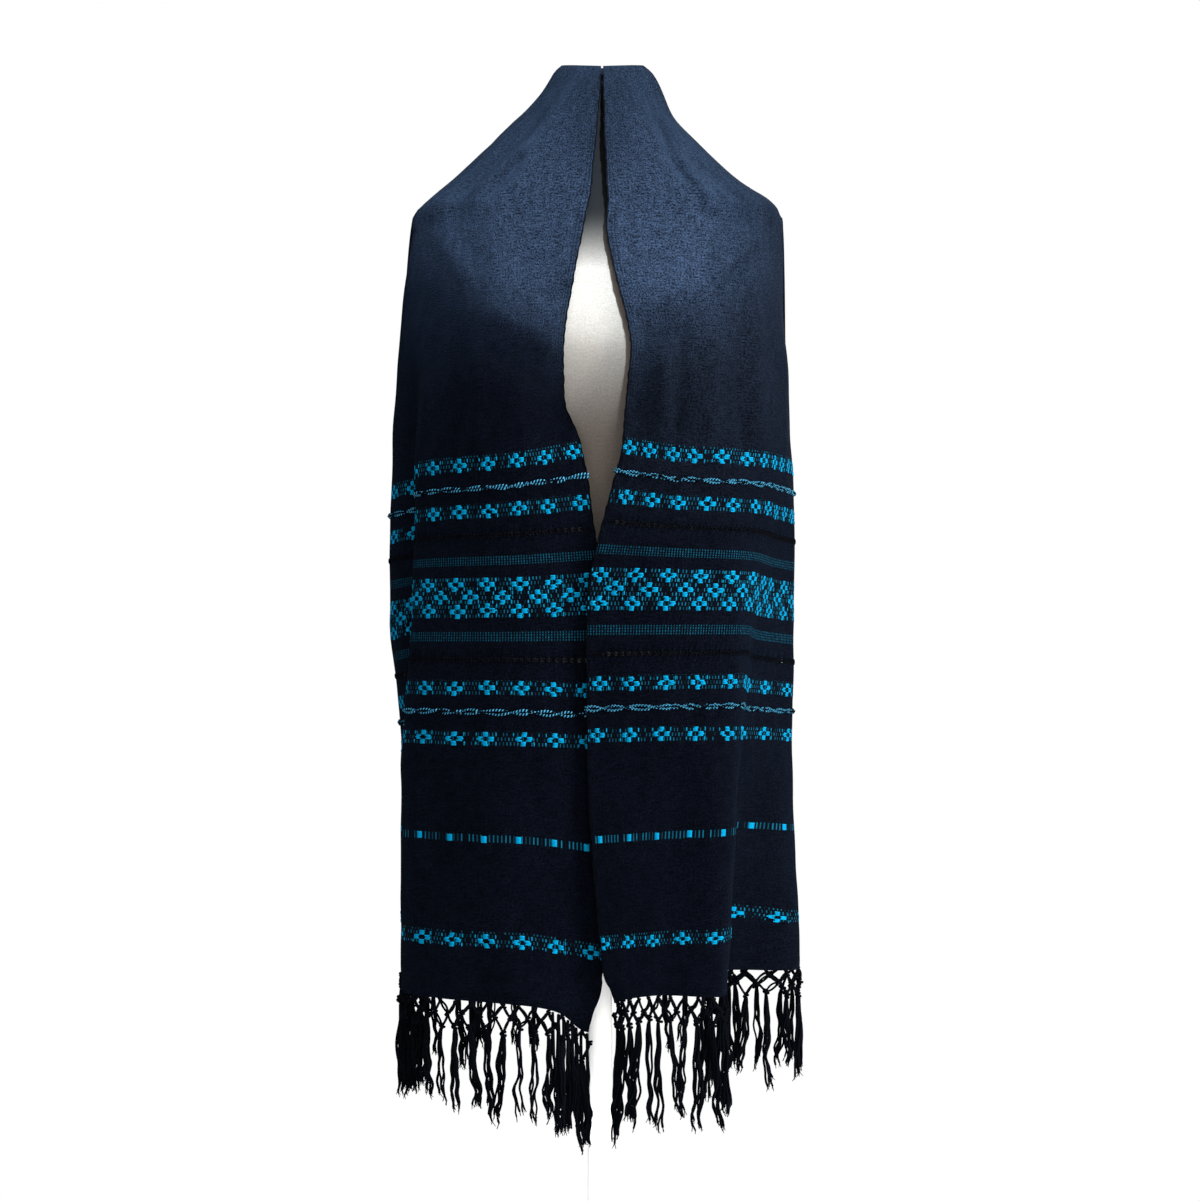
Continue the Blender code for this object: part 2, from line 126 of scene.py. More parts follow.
# Inner selvage beside the opening: (height, x)
SLIT = {
    Side.RIGHT: ((1.357, -0.010), (1.424, -0.004), (1.485, 0.0004), (1.500, 0.0012)),
    Side.LEFT: ((1.357, 0.008), (1.424, 0.005), (1.485, 0.0036), (1.500, 0.0030)),
}

# Plan stations of the hanging ends, from the inner to the outer selvage:
# edge, breast, corner, valley, side, heel, tuck, ridge, end.
STATIONS = ("edge", "breast", "corner", "valley", "side", "heel", "tuck", "ridge", "end")
HANG = {
    Side.RIGHT: (
        (1.345, (-0.013, -0.098), (-0.099, -0.083), (-0.149, -0.060), (-0.178, -0.036),
         (-0.193, -0.016), (-0.1905, -0.007), (-0.1897, -0.005), (-0.1889, -0.003), (-0.188, -0.001)),
        (1.330, (-0.016, -0.105), (-0.099, -0.090), (-0.150, -0.065), (-0.180, -0.038),
         (-0.195, -0.014), (-0.1905, -0.002), (-0.1892, 0.001), (-0.1878, 0.005), (-0.1865, 0.008)),
        (1.300, (-0.021, -0.117), (-0.098, -0.106), (-0.155, -0.078), (-0.185, -0.044),
         (-0.199, -0.014), (-0.192, 0.006), (-0.189, 0.011), (-0.186, 0.017), (-0.183, 0.022)),
        (1.255, (-0.029, -0.134), (-0.097, -0.129), (-0.162, -0.092), (-0.188, -0.052),
         (-0.205, -0.016), (-0.195, 0.014), (-0.190, 0.022), (-0.185, 0.030), (-0.179, 0.038)),
        (1.205, (-0.035, -0.149), (-0.096, -0.149), (-0.168, -0.101), (-0.190, -0.061),
         (-0.209, -0.018), (-0.198, 0.020), (-0.192, 0.031), (-0.185, 0.042), (-0.177, 0.052)),
        (1.150, (-0.034, -0.156), (-0.094, -0.158), (-0.176, -0.107), (-0.183, -0.068),
         (-0.212, -0.018), (-0.201, 0.024), (-0.193, 0.037), (-0.184, 0.051), (-0.173, 0.064)),
        (1.110, (-0.019, -0.158), (-0.092, -0.160), (-0.180, -0.109), (-0.177, -0.069),
         (-0.214, -0.018), (-0.203, 0.026), (-0.193, 0.041), (-0.183, 0.057), (-0.170, 0.072)),
        (1.030, (-0.006, -0.156), (-0.090, -0.159), (-0.182, -0.111), (-0.174, -0.068),
         (-0.217, -0.018), (-0.206, 0.028), (-0.189, 0.046), (-0.176, 0.074), (-0.156, 0.092)),
        (0.950, (0.002, -0.153), (-0.088, -0.158), (-0.185, -0.111), (-0.173, -0.066),
         (-0.217, -0.018), (-0.206, 0.030), (-0.182, 0.046), (-0.165, 0.094), (-0.126, 0.108)),
        (0.800, (0.002, -0.152), (-0.088, -0.156), (-0.193, -0.109), (-0.178, -0.062),
         (-0.205, -0.010), (-0.197, 0.036), (-0.163, 0.046), (-0.142, 0.112), (-0.086, 0.116)),
        (0.680, (0.003, -0.151), (-0.088, -0.156), (-0.195, -0.108), (-0.176, -0.060),
         (-0.204, -0.006), (-0.196, 0.042), (-0.154, 0.046), (-0.132, 0.122), (-0.072, 0.122)),
        (0.560, (0.002, -0.150), (-0.088, -0.157), (-0.197, -0.105), (-0.174, -0.058),
         (-0.206, -0.002), (-0.198, 0.046), (-0.146, 0.046), (-0.126, 0.128), (-0.062, 0.128)),
    ),
    Side.LEFT: (
        (1.345, (0.007, -0.098), (0.096, -0.083), (0.144, -0.060), (0.172, -0.036),
         (0.1865, -0.016), (0.1845, -0.007), (0.1837, -0.005), (0.1829, -0.003), (0.182, -0.001)),
        (1.330, (0.006, -0.105), (0.096, -0.090), (0.145, -0.065), (0.173, -0.038),
         (0.1875, -0.014), (0.1835, -0.002), (0.1822, 0.001), (0.1808, 0.005), (0.1795, 0.008)),
        (1.300, (0.010, -0.119), (0.095, -0.106), (0.149, -0.078), (0.176, -0.044),
         (0.189, -0.014), (0.1825, 0.006), (0.1797, 0.011), (0.1768, 0.017), (0.174, 0.022)),
        (1.255, (0.020, -0.137), (0.094, -0.129), (0.152, -0.092), (0.178, -0.053),
         (0.190, -0.016), (0.182, 0.014), (0.178, 0.022), (0.174, 0.030), (0.169, 0.038)),
        (1.205, (0.030, -0.152), (0.093, -0.149), (0.154, -0.104), (0.180, -0.061),
         (0.193, -0.018), (0.184, 0.020), (0.179, 0.031), (0.173, 0.042), (0.166, 0.052)),
        (1.150, (0.025, -0.160), (0.090, -0.160), (0.155, -0.113), (0.182, -0.067),
         (0.196, -0.018), (0.186, 0.024), (0.180, 0.037), (0.172, 0.051), (0.162, 0.064)),
        (1.110, (0.022, -0.163), (0.088, -0.163), (0.154, -0.119), (0.182, -0.070),
         (0.1975, -0.018), (0.187, 0.026), (0.179, 0.041), (0.170, 0.057), (0.158, 0.072)),
        (1.030, (0.002, -0.166), (0.082, -0.165), (0.149, -0.129), (0.174, -0.074),
         (0.200, -0.018), (0.188, 0.028), (0.174, 0.048), (0.164, 0.074), (0.146, 0.092)),
        (0.950, (-0.013, -0.167), (0.075, -0.166), (0.141, -0.138), (0.162, -0.078),
         (0.200, -0.014), (0.189, 0.032), (0.168, 0.049), (0.156, 0.094), (0.120, 0.108)),
        (0.800, (-0.012, -0.166), (0.066, -0.165), (0.130, -0.147), (0.143, -0.082),
         (0.200, -0.006), (0.190, 0.040), (0.156, 0.052), (0.138, 0.112), (0.080, 0.116)),
        (0.680, (-0.005, -0.165), (0.060, -0.165), (0.125, -0.153), (0.121, -0.072),
         (0.203, 0.002), (0.193, 0.048), (0.152, 0.056), (0.130, 0.122), (0.066, 0.122)),
        (0.577, (0.005, -0.163), (0.060, -0.165), (0.121, -0.156), (0.106, -0.052),
         (0.205, 0.006), (0.196, 0.052), (0.148, 0.058), (0.124, 0.128), (0.058, 0.128)),
    ),
}

# The back stretch: height, right fold, right corner, left fold, left corner, blade y, spine y
BACK_HANG = (
    (1.345, (-0.1965, 0.001), (-0.176, 0.054), (0.1905, 0.001), (0.170, 0.054), 0.091, 0.100),
    (1.300, (-0.2015, 0.006), (-0.184, 0.064), (0.1925, 0.006), (0.176, 0.064), 0.105, 0.113),
    (1.205, (-0.2080, 0.014), (-0.190, 0.078), (0.1945, 0.014), (0.180, 0.078), 0.124, 0.129),
    (1.110, (-0.2130, 0.018), (-0.194, 0.090), (0.1980, 0.018), (0.184, 0.090), 0.132, 0.134),
    (1.000, (-0.2165, 0.020), (-0.197, 0.100), (0.2005, 0.020), (0.187, 0.100), 0.138, 0.136),
    (0.890, (-0.2150, 0.022), (-0.196, 0.108), (0.2010, 0.022), (0.188, 0.108), 0.143, 0.139),
)
BACK_ANGLES = (25.0, 60.0)
BLADE_X = 0.095
SEAM_GAP = 0.0003

# How far bands sag, in millimetres: height on the cloth, then edge, breast,
# corner, valley, side. Less than nothing is higher.
SAG = {
    Side.RIGHT: (
        (0.700, 0.0, 0.0, 0.0, 2.0, 4.0),
        (0.530, -11.0, 1.0, 6.0, 16.0, 24.0),
        (0.460, -5.0, 1.0, 5.0, 16.0, 24.0),
        (0.399, -4.0, 0.0, 1.0, 14.0, 25.0),
        (0.311, 3.0, 0.0, 1.0, 12.0, 20.0),
        (0.262, 3.5, 0.0, 0.0, 10.0, 18.0),
        (0.165, 10.0, 0.0, -1.0, 2.0, 5.0),
        (0.066, 13.0, 0.0, 0.0, 0.0, 0.0),
        (0.000, 9.0, -6.0, -8.0, -6.0, -6.0),
    ),
    Side.LEFT: (
        (0.700, 0.0, 0.0, 0.0, 1.0, 3.0),
        (0.530, -5.0, 4.0, 5.0, 6.0, 9.0),
        (0.460, -3.0, 3.0, 5.0, 9.0, 13.0),
        (0.399, -1.0, 0.0, 1.0, 7.0, 12.0),
        (0.311, 2.0, 0.0, 0.0, 7.0, 14.0),
        (0.262, 2.0, 0.0, 0.0, 4.0, 11.0),
        (0.165, 4.0, -1.0, -3.0, -1.0, 9.0),
        (0.066, 5.0, 0.0, -3.0, -11.0, 4.0),
        (0.000, 8.0, 1.0, 3.0, -1.0, 6.0),
    ),
}


@dataclass(frozen=True)
class Band:
    """A woven band: its height on the cloth, and where its repeats start."""

    height: float
    kind: Inlay
    half: float
    rows: tuple[float, ...] = ()
    starts: tuple[float, float] = (0.013, 0.010)     # right, left
    pitches: tuple[float, float] = (0.0327, 0.0335)  # right, left


THREE_ROWS = (0.013, 0.0, -0.013)
BANDS = (
    Band(0.066, Inlay.MOTIFS, 0.0070, (0.0,), (0.0125, 0.0045), (0.0326, 0.0345)),
    Band(0.165, Inlay.DASHES, 0.0036, (), (0.0150, 0.0100), (0.0330, 0.0345)),
    Band(0.262, Inlay.MOTIFS, 0.0070, (0.0,), (0.0135, 0.0110), (0.0328, 0.0345)),
    Band(0.311, Inlay.MOTIFS, 0.0070, (0.0,), (0.0145, 0.0120), (0.0325, 0.0340)),
    Band(0.360, Inlay.CHECKS, 0.0047),
    Band(0.399, Inlay.MOTIFS, 0.0200, THREE_ROWS, (0.0145, 0.0095), (0.0328, 0.0330)),
    Band(0.434, Inlay.CHECKS, 0.0047),
    Band(0.4845, Inlay.MOTIFS, 0.0070, (0.0,), (0.0125, 0.0180), (0.0325, 0.0295)),
    Band(0.530, Inlay.MOTIFS, 0.0070, (0.0,), (0.0130, 0.0090), (0.0325, 0.0278)),
)
ROPE_HEIGHTS = (0.507, 0.288)
OPENWORK_HEIGHTS = (0.461, 0.339)
OPENWORK_HALF = 0.0018
BACK_HEM_HEIGHT = 0.330

# A motif's floats in its middle row, the rows beside it, and all others
MOTIF_ROWS = (
    ((-0.0080, -0.0034), (0.0035, 0.0088)),
    ((-0.0076, -0.0025), (0.0026, 0.0084)),
    ((-0.0025, 0.0026),),
)
# The upright picks beside a motif: place across, bottom, top
SERIFS = ((0.0098, 0.0024, 0.0068), (0.0098, -0.0066, -0.0022),
          (-0.0092, -0.0060, -0.0026), (-0.0092, 0.0026, 0.0062))

# The bundles' lengths at the inner selvage, 30 mm on, breast, corner, side, end
FRINGE_LENGTHS = {
    Side.RIGHT: (0.108, 0.112, 0.108, 0.097, 0.096, 0.100),
    Side.LEFT: (0.126, 0.120, 0.118, 0.112, 0.098, 0.104),
}
FRINGE_NODES = {Side.RIGHT: "fringe_right", Side.LEFT: "fringe_left"}

# How each end's inner lower corner is pulled: aside, down, over what width
CORNER_PULL = {Side.RIGHT: (-0.013, 0.015, 0.028), Side.LEFT: (0.009, 0.002, 0.020)}

# Soft creases: x, z to x, z, how far they stand out (or in) in millimetres, width
CREASES = {
    Side.RIGHT: ((-0.053, 1.457, -0.146, 1.362, -4.6, 0.006), (-0.069, 1.424, -0.131, 1.361, 4.8, 0.006),
                 (-0.075, 1.410, -0.118, 1.360, -4.4, 0.006), (-0.066, 1.418, -0.088, 1.361, 4.0, 0.006),
                 (-0.166, 1.334, -0.127, 1.268, 5.0, 0.011), (-0.141, 1.317, -0.114, 1.282, -4.0, 0.008),
                 (-0.115, 1.248, -0.034, 1.192, 7.0, 0.012), (-0.028, 1.262, -0.056, 1.243, -6.5, 0.013),
                 (-0.020, 1.165, -0.100, 1.208, -8.0, 0.022), (-0.055, 1.185, -0.048, 1.100, -5.0, 0.026),
                 (-0.121, 1.215, -0.117, 1.095, 3.2, 0.008), (-0.136, 1.215, -0.134, 1.100, -2.6, 0.007),
                 (-0.198, 1.356, -0.203, 1.340, 2.5, 0.014)),
    Side.LEFT: ((0.058, 1.454, 0.075, 1.396, -5.2, 0.006), (0.075, 1.400, 0.096, 1.368, -5.0, 0.006),
                (0.077, 1.413, 0.111, 1.354, 6.5, 0.006), (0.091, 1.407, 0.150, 1.360, -5.2, 0.007),
                (0.100, 1.345, 0.117, 1.341, -5.2, 0.006), (0.162, 1.331, 0.107, 1.268, 5.4, 0.011),
                (0.112, 1.262, 0.026, 1.247, 5.0, 0.010), (0.168, 1.320, 0.123, 1.262, -4.4, 0.010),
                (0.030, 1.220, 0.092, 1.212, -6.0, 0.015), (0.111, 1.228, 0.103, 1.100, 4.6, 0.010),
                (0.081, 1.215, 0.075, 1.110, -5.4, 0.009), (0.063, 1.200, 0.060, 1.120, 3.6, 0.007),
                (0.040, 1.210, 0.036, 1.110, -5.0, 0.010), (0.139, 1.240, 0.138, 1.095, -4.0, 0.008),
                (0.155, 1.245, 0.154, 1.095, 3.6, 0.009), (0.196, 1.357, 0.202, 1.338, 5.0, 0.015)),
}


# Curves

def unit(vectors: Array) -> Array:
    """Scale vectors along the last axis to length one."""
    return vectors / np.maximum(np.linalg.norm(vectors, axis=-1, keepdims=True), TINY)


def run_along(points: Array) -> Array:
    """Give each point's distance along its line of points, from 0."""
    steps = np.linalg.norm(np.diff(points, axis=-2), axis=-1)
    return np.concatenate([np.zeros((*steps.shape[:-1], 1)), np.cumsum(steps, axis=-1)], axis=-1)


def ease_rows(rows: Array) -> None:
    """Draw every inner row halfway to the mean of its neighbours, in place."""
    rows[1:-1] = 0.25 * rows[:-2] + 0.5 * rows[1:-1] + 0.25 * rows[2:]


def level_normal(points: Array) -> Array:
    """Give unit plan directions at right angles to rows of points."""
    tangent = np.gradient(points, axis=1)
    return unit(np.stack([tangent[..., 1], -tangent[..., 0]], axis=2))


def steady_curve(knots: Array, values: Array, at: Array) -> Array:
    """Read curves that never overshoot their values.

    Args:
        knots: rising positions of the values, shape (n,).
        values: what the curves pass through, shape (n, ...).
        at: positions to read, shape (k,).

    Returns:
        The curves' values, shape (k, ...).
    """
    shape = values.shape[1:]
    flat = values.reshape(len(knots), -1)
    step = np.diff(knots)[:, None]
    slope = np.diff(flat, axis=0) / step
    tangent = np.zeros_like(flat)
    tangent[0], tangent[-1] = slope[0], slope[-1]
    before, after = 2.0 * step[1:] + step[:-1], step[1:] + 2.0 * step[:-1]
    rising = slope[:-1] * slope[1:] > 0.0
    low, high = np.where(rising, slope[:-1], 1.0), np.where(rising, slope[1:], 1.0)
    tangent[1:-1] = np.where(rising, (before + after) / (before / low + after / high), 0.0)
    x = np.clip(at, knots[0], knots[-1])
    i = np.clip(np.searchsorted(knots, x, side="right") - 1, 0, len(knots) - 2)
    t = ((x - knots[i]) / step[i, 0])[:, None]
    rise = smoothstep(t)
    read = (flat[i] * (1.0 - rise) + flat[i + 1] * rise
            + step[i] * t * (1.0 - t) * (tangent[i] * (1.0 - t) - tangent[i + 1] * t))
    return read.reshape((len(at), *shape))


def smoothstep(t: Array | float) -> Array:
    """Ease from 0 to 1 as t goes from 0 to 1."""
    t = np.clip(t, 0.0, 1.0)
    return t * t * (3.0 - 2.0 * t)


def soft_noise(x: Array, z: Array, size: float, seed: int) -> Array:
    """Give smooth uneven waves of about unit height, longer down than across.

    Args:
        x: distances across.
        z: distances down.
        size: usual distance between neighbouring crests.
        seed: which pattern.

    Returns:
        Heights of the same shape as x.
    """
    rng = np.random.default_rng(seed)
    made = np.zeros(np.broadcast(x, z).shape)
    for _ in range(NOISE_WAVES):
        turn, begin = rng.uniform(0.0, np.pi), rng.uniform(0.0, TURN)
        length = size * rng.uniform(0.7, 1.8)
        run = x * math.cos(turn) + NOISE_STRETCH * z * math.sin(turn)
        made = made + np.sin(TURN * run / length + begin)
    return made * math.sqrt(2.0 / NOISE_WAVES)


def section_grid(stations: Array, columns: tuple[int, ...]) -> tuple[Array, list[int]]:
    """Draw smooth plan curves through rows of stations, evenly divided in each span.

    Args:
        stations: plan points, shape (rows, stations, 2).
        columns: how many columns each span between stations has.

    Returns:
        Plan points, shape (rows, columns + 1, 2), and each station's column.
    """
    ahead = np.concatenate([2.0 * stations[:, :1] - stations[:, 1:2], stations,
                            2.0 * stations[:, -1:] - stations[:, -2:-1]], axis=1)
    t = np.linspace(0.0, 1.0, SPAN_POINTS)[None, :, None]
    ease = smoothstep(t)
    rows = [stations[:, :1]]
    for span, count in enumerate(columns):
        p0, p1, p2, p3 = (ahead[:, span + i][:, None, :] for i in range(4))
        reach = np.linalg.norm(p2 - p1, axis=2, keepdims=True)
        into, out = unit(p2 - p0) * reach, unit(p3 - p1) * reach
        fine = p1 * (1.0 - ease) + p2 * ease + into * (t * (1.0 - t) ** 2) - out * (t * t * (1.0 - t))
        share = np.arange(1, count + 1) / count
        rows.append(np.array([[np.interp(share * run[-1], run, line[:, axis]) for axis in (0, 1)]
                              for run, line in zip(run_along(fine), fine)]).swapaxes(1, 2))
    grid = np.concatenate(rows, axis=1)
    for _ in range(COLUMN_EASING):
        ease_rows(grid.swapaxes(0, 1))
    return grid, np.cumsum([0, *columns]).tolist()


def cloth_knot(side: Side, height: Array) -> Array:
    """Turn a height on the cloth into a knot of the drape, for one end."""
    if side is Side.RIGHT:
        return RIGHT_HEM + height
    lowest, first_band = 0.066, 0.0523      # the left end's lowest band hangs lower
    low = LEFT_HEM + height * (first_band / lowest)
    middle = LEFT_HEM - 0.0155 + 1.015 * height      # up to where both ends are level
    blend = smoothstep((height - 0.55) / 0.15)
    upper = middle * (1.0 - blend) + (RIGHT_HEM + height) * blend
    return np.where(height < lowest, low, upper)


def knot_height(knot: Array) -> Array:
    """Give the height above the floor of a knot, round the crest of the neck."""
    past = np.clip(knot - NECK_TOP, 0.0, None)
    return np.minimum(knot, NECK_TOP) - past


# Meshes and pieces

def new_object(name: str, data: bpy.types.ID) -> Object:
    """Make an object of its data and link it to the scene."""
    made = bpy.data.objects.new(name, data)
    bpy.context.scene.collection.objects.link(made)
    return made


@dataclass
class YarnBag:
    """Collects closed yarns and floats that become one mesh."""

    name: str
    cap: float = 0.6                 # how far a yarn's ends bulge, in radii
    points: list[Array] = field(default_factory=list)
    faces: list[Array] = field(default_factory=list)
    maps: list[Array] = field(default_factory=list)
    tones: list[Array] = field(default_factory=list)
    count: int = 0

    def add(self, points: Array, quads: Array, along: Array, tone: float) -> None:
        """Add one closed shape.

        Args:
            points: its vertices, shape (n, 3).
            quads: its faces; a triangle repeats its last corner.
            along: a map position for each vertex, shape (n, 2).
            tone: how light this yarn is, 0 to 1.
        """
        self.points.append(points)
        self.faces.append(quads + self.count)
        self.maps.append(along)
        self.tones.append(np.full(len(points), tone))
        self.count += len(points)

    def tube(self, path: Array, radius: Array | float, sides: int, tone: float,
             start: float = 0.0) -> None:
        """Add a yarn that follows a path, closed at both ends.

        Args:
            path: the centreline, shape (n, 3).
            radius: the yarn's radius along the path.
            sides: how many sides it has.
            tone: how light it is, 0 to 1, or less for the dark ply alone.
            start: distance at which its map begins.
        """
        count = len(path)
        radius = np.broadcast_to(np.asarray(radius, float), (count,))
        tangent = unit(np.gradient(path, axis=0))
        steep = abs(tangent[:, 2].mean()) >= 0.7
        first = unit(np.cross(tangent, np.array([1.0, 0.0, 0.0]) if steep else UP))
        second = np.cross(tangent, first)
        turn = np.linspace(0.0, TURN, sides, endpoint=False)
        ring = (first[:, None, :] * np.cos(turn)[None, :, None]
                + second[:, None, :] * np.sin(turn)[None, :, None])
        skin = path[:, None, :] + ring * radius[:, None, None]
        run = start + run_along(path)
        caps = np.array([path[0] - tangent[0] * radius[0] * self.cap,
                         path[-1] + tangent[-1] * radius[-1] * self.cap])
        points = np.concatenate([skin.reshape(-1, 3), caps])
        around = np.broadcast_to(turn / TURN, (count, sides))
        along = np.stack([around, np.broadcast_to(run[:, None], (count, sides))], axis=2).reshape(-1, 2)
        along = np.concatenate([along, [[0.5, run[0]], [0.5, run[-1]]]])
        index = np.arange(count * sides).reshape(count, sides)
        ahead = np.roll(index, -1, axis=1)
        walls = np.stack([index[:-1], index[1:], ahead[1:], ahead[:-1]], axis=2).reshape(-1, 4)
        near, far = np.full(sides, count * sides), np.full(sides, count * sides + 1)
        first_cap = np.stack([index[0], ahead[0], near, near], axis=1)
        last_cap = np.stack([ahead[-1], index[-1], far, far], axis=1)
        self.add(points, np.concatenate([walls, first_cap, last_cap]), along, tone)

    def build(self, material: Material) -> Object:
        """Make the mesh and give it its finish, smooth shading and attributes."""
        rows = np.concatenate(self.faces)
        faces = [tuple(row[:3]) if row[2] == row[3] else tuple(row) for row in rows.tolist()]
        mesh = bpy.data.meshes.new(self.name)
        mesh.from_pydata(np.concatenate(self.points).tolist(), [], faces)
        mesh.update()
        corners = np.empty(len(mesh.loops), dtype=np.int32)
        mesh.loops.foreach_get("vertex_index", corners)
        layer = mesh.uv_layers.new(name="Yarn")
        layer.data.foreach_set("uv", np.concatenate(self.maps)[corners].astype(np.float32).ravel())
        tone = mesh.attributes.new("Tone", "FLOAT", "POINT")
        tone.data.foreach_set("value", np.concatenate(self.tones).astype(np.float32))
        builder = bmesh.new()
        builder.from_mesh(mesh)
        bmesh.ops.recalc_face_normals(builder, faces=builder.faces)
        builder.to_mesh(mesh)
        builder.free()
        mesh.shade_smooth()
        mesh.materials.append(material)
        return new_object(self.name, mesh)


def apply_modifiers(piece: Object) -> None:
    """Apply every modifier on a piece, in order."""
    bpy.ops.object.select_all(action="DESELECT")
    piece.select_set(True)
    bpy.context.view_layer.objects.active = piece
    for modifier in list(piece.modifiers):
        bpy.ops.object.modifier_apply(modifier=modifier.name)


# Finishes

class NodeKit:
    """Short ways to place and join shader nodes in one tree."""

    def __init__(self, tree: NodeTree) -> None:
        """Keep the tree that nodes go into."""
        self.tree = tree

    def add(self, kind: str, inputs: dict | None = None, **settings) -> Node:
        """Place a node.

        Args:
            kind: the node's type name, without its first part.
            inputs: values or sockets for its inputs, by name or number.
            settings: the node's own options.

        Returns:
            The node.
        """
        node = self.tree.nodes.new("ShaderNode" + kind)
        for name, value in settings.items():
            setattr(node, name, value)
        for name, value in (inputs or {}).items():
            self.feed(node.inputs[name], value)
        return node

    def feed(self, socket: NodeSocket, value) -> None:
        """Join a socket to another one, or set its value."""
        if isinstance(value, NodeSocket):
            self.tree.links.new(value, socket)
        else:
            socket.default_value = value

    def group(self, name: str, **inputs) -> bpy.types.bpy_prop_collection:
        """Place one of the shared groups and give its outputs."""
        return self.add("Group", inputs, node_tree=GROUPS[name]).outputs

    def math(self, operation: str, first, *others) -> NodeSocket:
        """Work a sum out on sockets or numbers, from the left."""
        for other in others or (0.0,):
            first = self.add("Math", {0: first, 1: other}, operation=operation).outputs[0]
        return first

    def plus(self, *terms) -> NodeSocket:
        """Add up, from the left."""
        return self.math("ADD", *terms)

    def minus(self, first, second) -> NodeSocket:
        """Take the second from the first."""
        return self.math("SUBTRACT", first, second)

    def times(self, *factors) -> NodeSocket:
        """Multiply, from the left."""
        return self.math("MULTIPLY", *factors)

    def below(self, value, limit) -> NodeSocket:
        """Give 1 where a value is less than a limit, else 0."""
        return self.math("LESS_THAN", value, limit)

    def above(self, value, limit) -> NodeSocket:
        """Give 1 where a value is greater than a limit, else 0."""
        return self.math("GREATER_THAN", value, limit)

    def ridges(self, turns) -> NodeSocket:
        """Give a round ridge for each whole turn."""
        return self.math("ABSOLUTE", self.math("SINE", self.times(turns, math.pi)))

    def split(self, vector) -> list[NodeSocket]:
        """Take a vector apart."""
        return list(self.add("SeparateXYZ", {0: vector}).outputs)

    def mix(self, factor, first, second, **settings) -> NodeSocket:
        """Mix two colours; one without transparency may be given by three numbers."""
        first, second = ((*colour, 1.0) if isinstance(colour, tuple) else colour
                         for colour in (first, second))
        return self.add("Mix", {0: factor, 6: first, 7: second}, data_type="RGBA", **settings).outputs[2]

    def spread(self, value, low: float, high: float, to_low: float = 0.0,
               to_high: float = 1.0) -> NodeSocket:
        """Map a value's range onto another, clamped."""
        return self.add("MapRange", {0: value, 1: low, 2: high, 3: to_low, 4: to_high}).outputs[0]

    def noise(self, vector, scale: float | tuple[float, ...], detail: float = 2.0) -> NodeSocket:
        """Read a noise texture's factor, at one scale or at one for each axis."""
        if isinstance(scale, tuple):
            node = self.add("VectorMath", {0: vector, 1: scale}, operation="MULTIPLY")
            vector, scale = node.outputs[0], 1.0
        return self.add("TexNoise", {"Vector": vector, "Scale": scale, "Detail": detail}).outputs[0]


def new_group(name: str, inputs: dict[str, float | None],
              outputs: tuple[str, ...]) -> tuple[NodeTree, NodeKit, dict, dict]:
    """Start a shader node group with named sockets.

    Args:
        name: the group's name.
        inputs: starting value by name, or none for a vector.
        outputs: names of the numbers that it gives.

    Returns:
        The group, its kit, its input sockets and its output sockets.
    """
    group = bpy.data.node_groups.new(name, "ShaderNodeTree")
    for label, value in inputs.items():
        kind = "NodeSocketVector" if value is None else "NodeSocketFloat"
        socket = group.interface.new_socket(label, in_out="INPUT", socket_type=kind)
        if value is not None:
            socket.default_value = value
    for label in outputs:
        group.interface.new_socket(label, in_out="OUTPUT", socket_type="NodeSocketFloat")
    source = group.nodes.new("NodeGroupInput")
    sink = group.nodes.new("NodeGroupOutput")
    return group, NodeKit(group), {s.name: s for s in source.outputs}, {s.name: s for s in sink.inputs}


def plain_weave_group() -> NodeTree:
    """Build the group that gives a plain weave's height and its uneven threads."""
    group, kit, given, made = new_group(
        "Plain weave", {"Vector": None, "Warp": 1400.0, "Weft": 1200.0, "Slub": 0.5},
        ("Height", "Slubs", "Lint"))
    across, down = kit.split(given["Vector"])[:2]
    warp, weft = kit.times(across, given["Warp"]), kit.times(down, given["Weft"])
    over = kit.math("FLOORED_MODULO", kit.plus(kit.math("FLOOR", warp), kit.math("FLOOR", weft)), 2.0)
    threads = kit.plus(kit.times(kit.ridges(warp), over), kit.times(kit.ridges(weft), kit.minus(1.0, over)))
    thick_weft, thick_warp, grain, specks = (
        kit.noise(given["Vector"], scale, detail)
        for scale, detail in (((90.0, 620.0, 1.0), 3.0), ((520.0, 60.0, 1.0), 2.0),
                              ((500.0, 540.0, 1.0), 2.0), ((700.0, 900.0, 1.0), 1.0)))
    slubs = kit.plus(kit.times(thick_weft, 0.28), kit.times(thick_warp, 0.14), kit.times(grain, 0.58))
    slub_relief = kit.times(slubs, kit.times(given["Slub"], 4.0))
    kit.feed(made["Height"], kit.plus(kit.times(threads, 0.30), slub_relief))
    kit.feed(made["Slubs"], slubs)
    kit.feed(made["Lint"], kit.spread(specks, 0.66, 0.80))
    return group


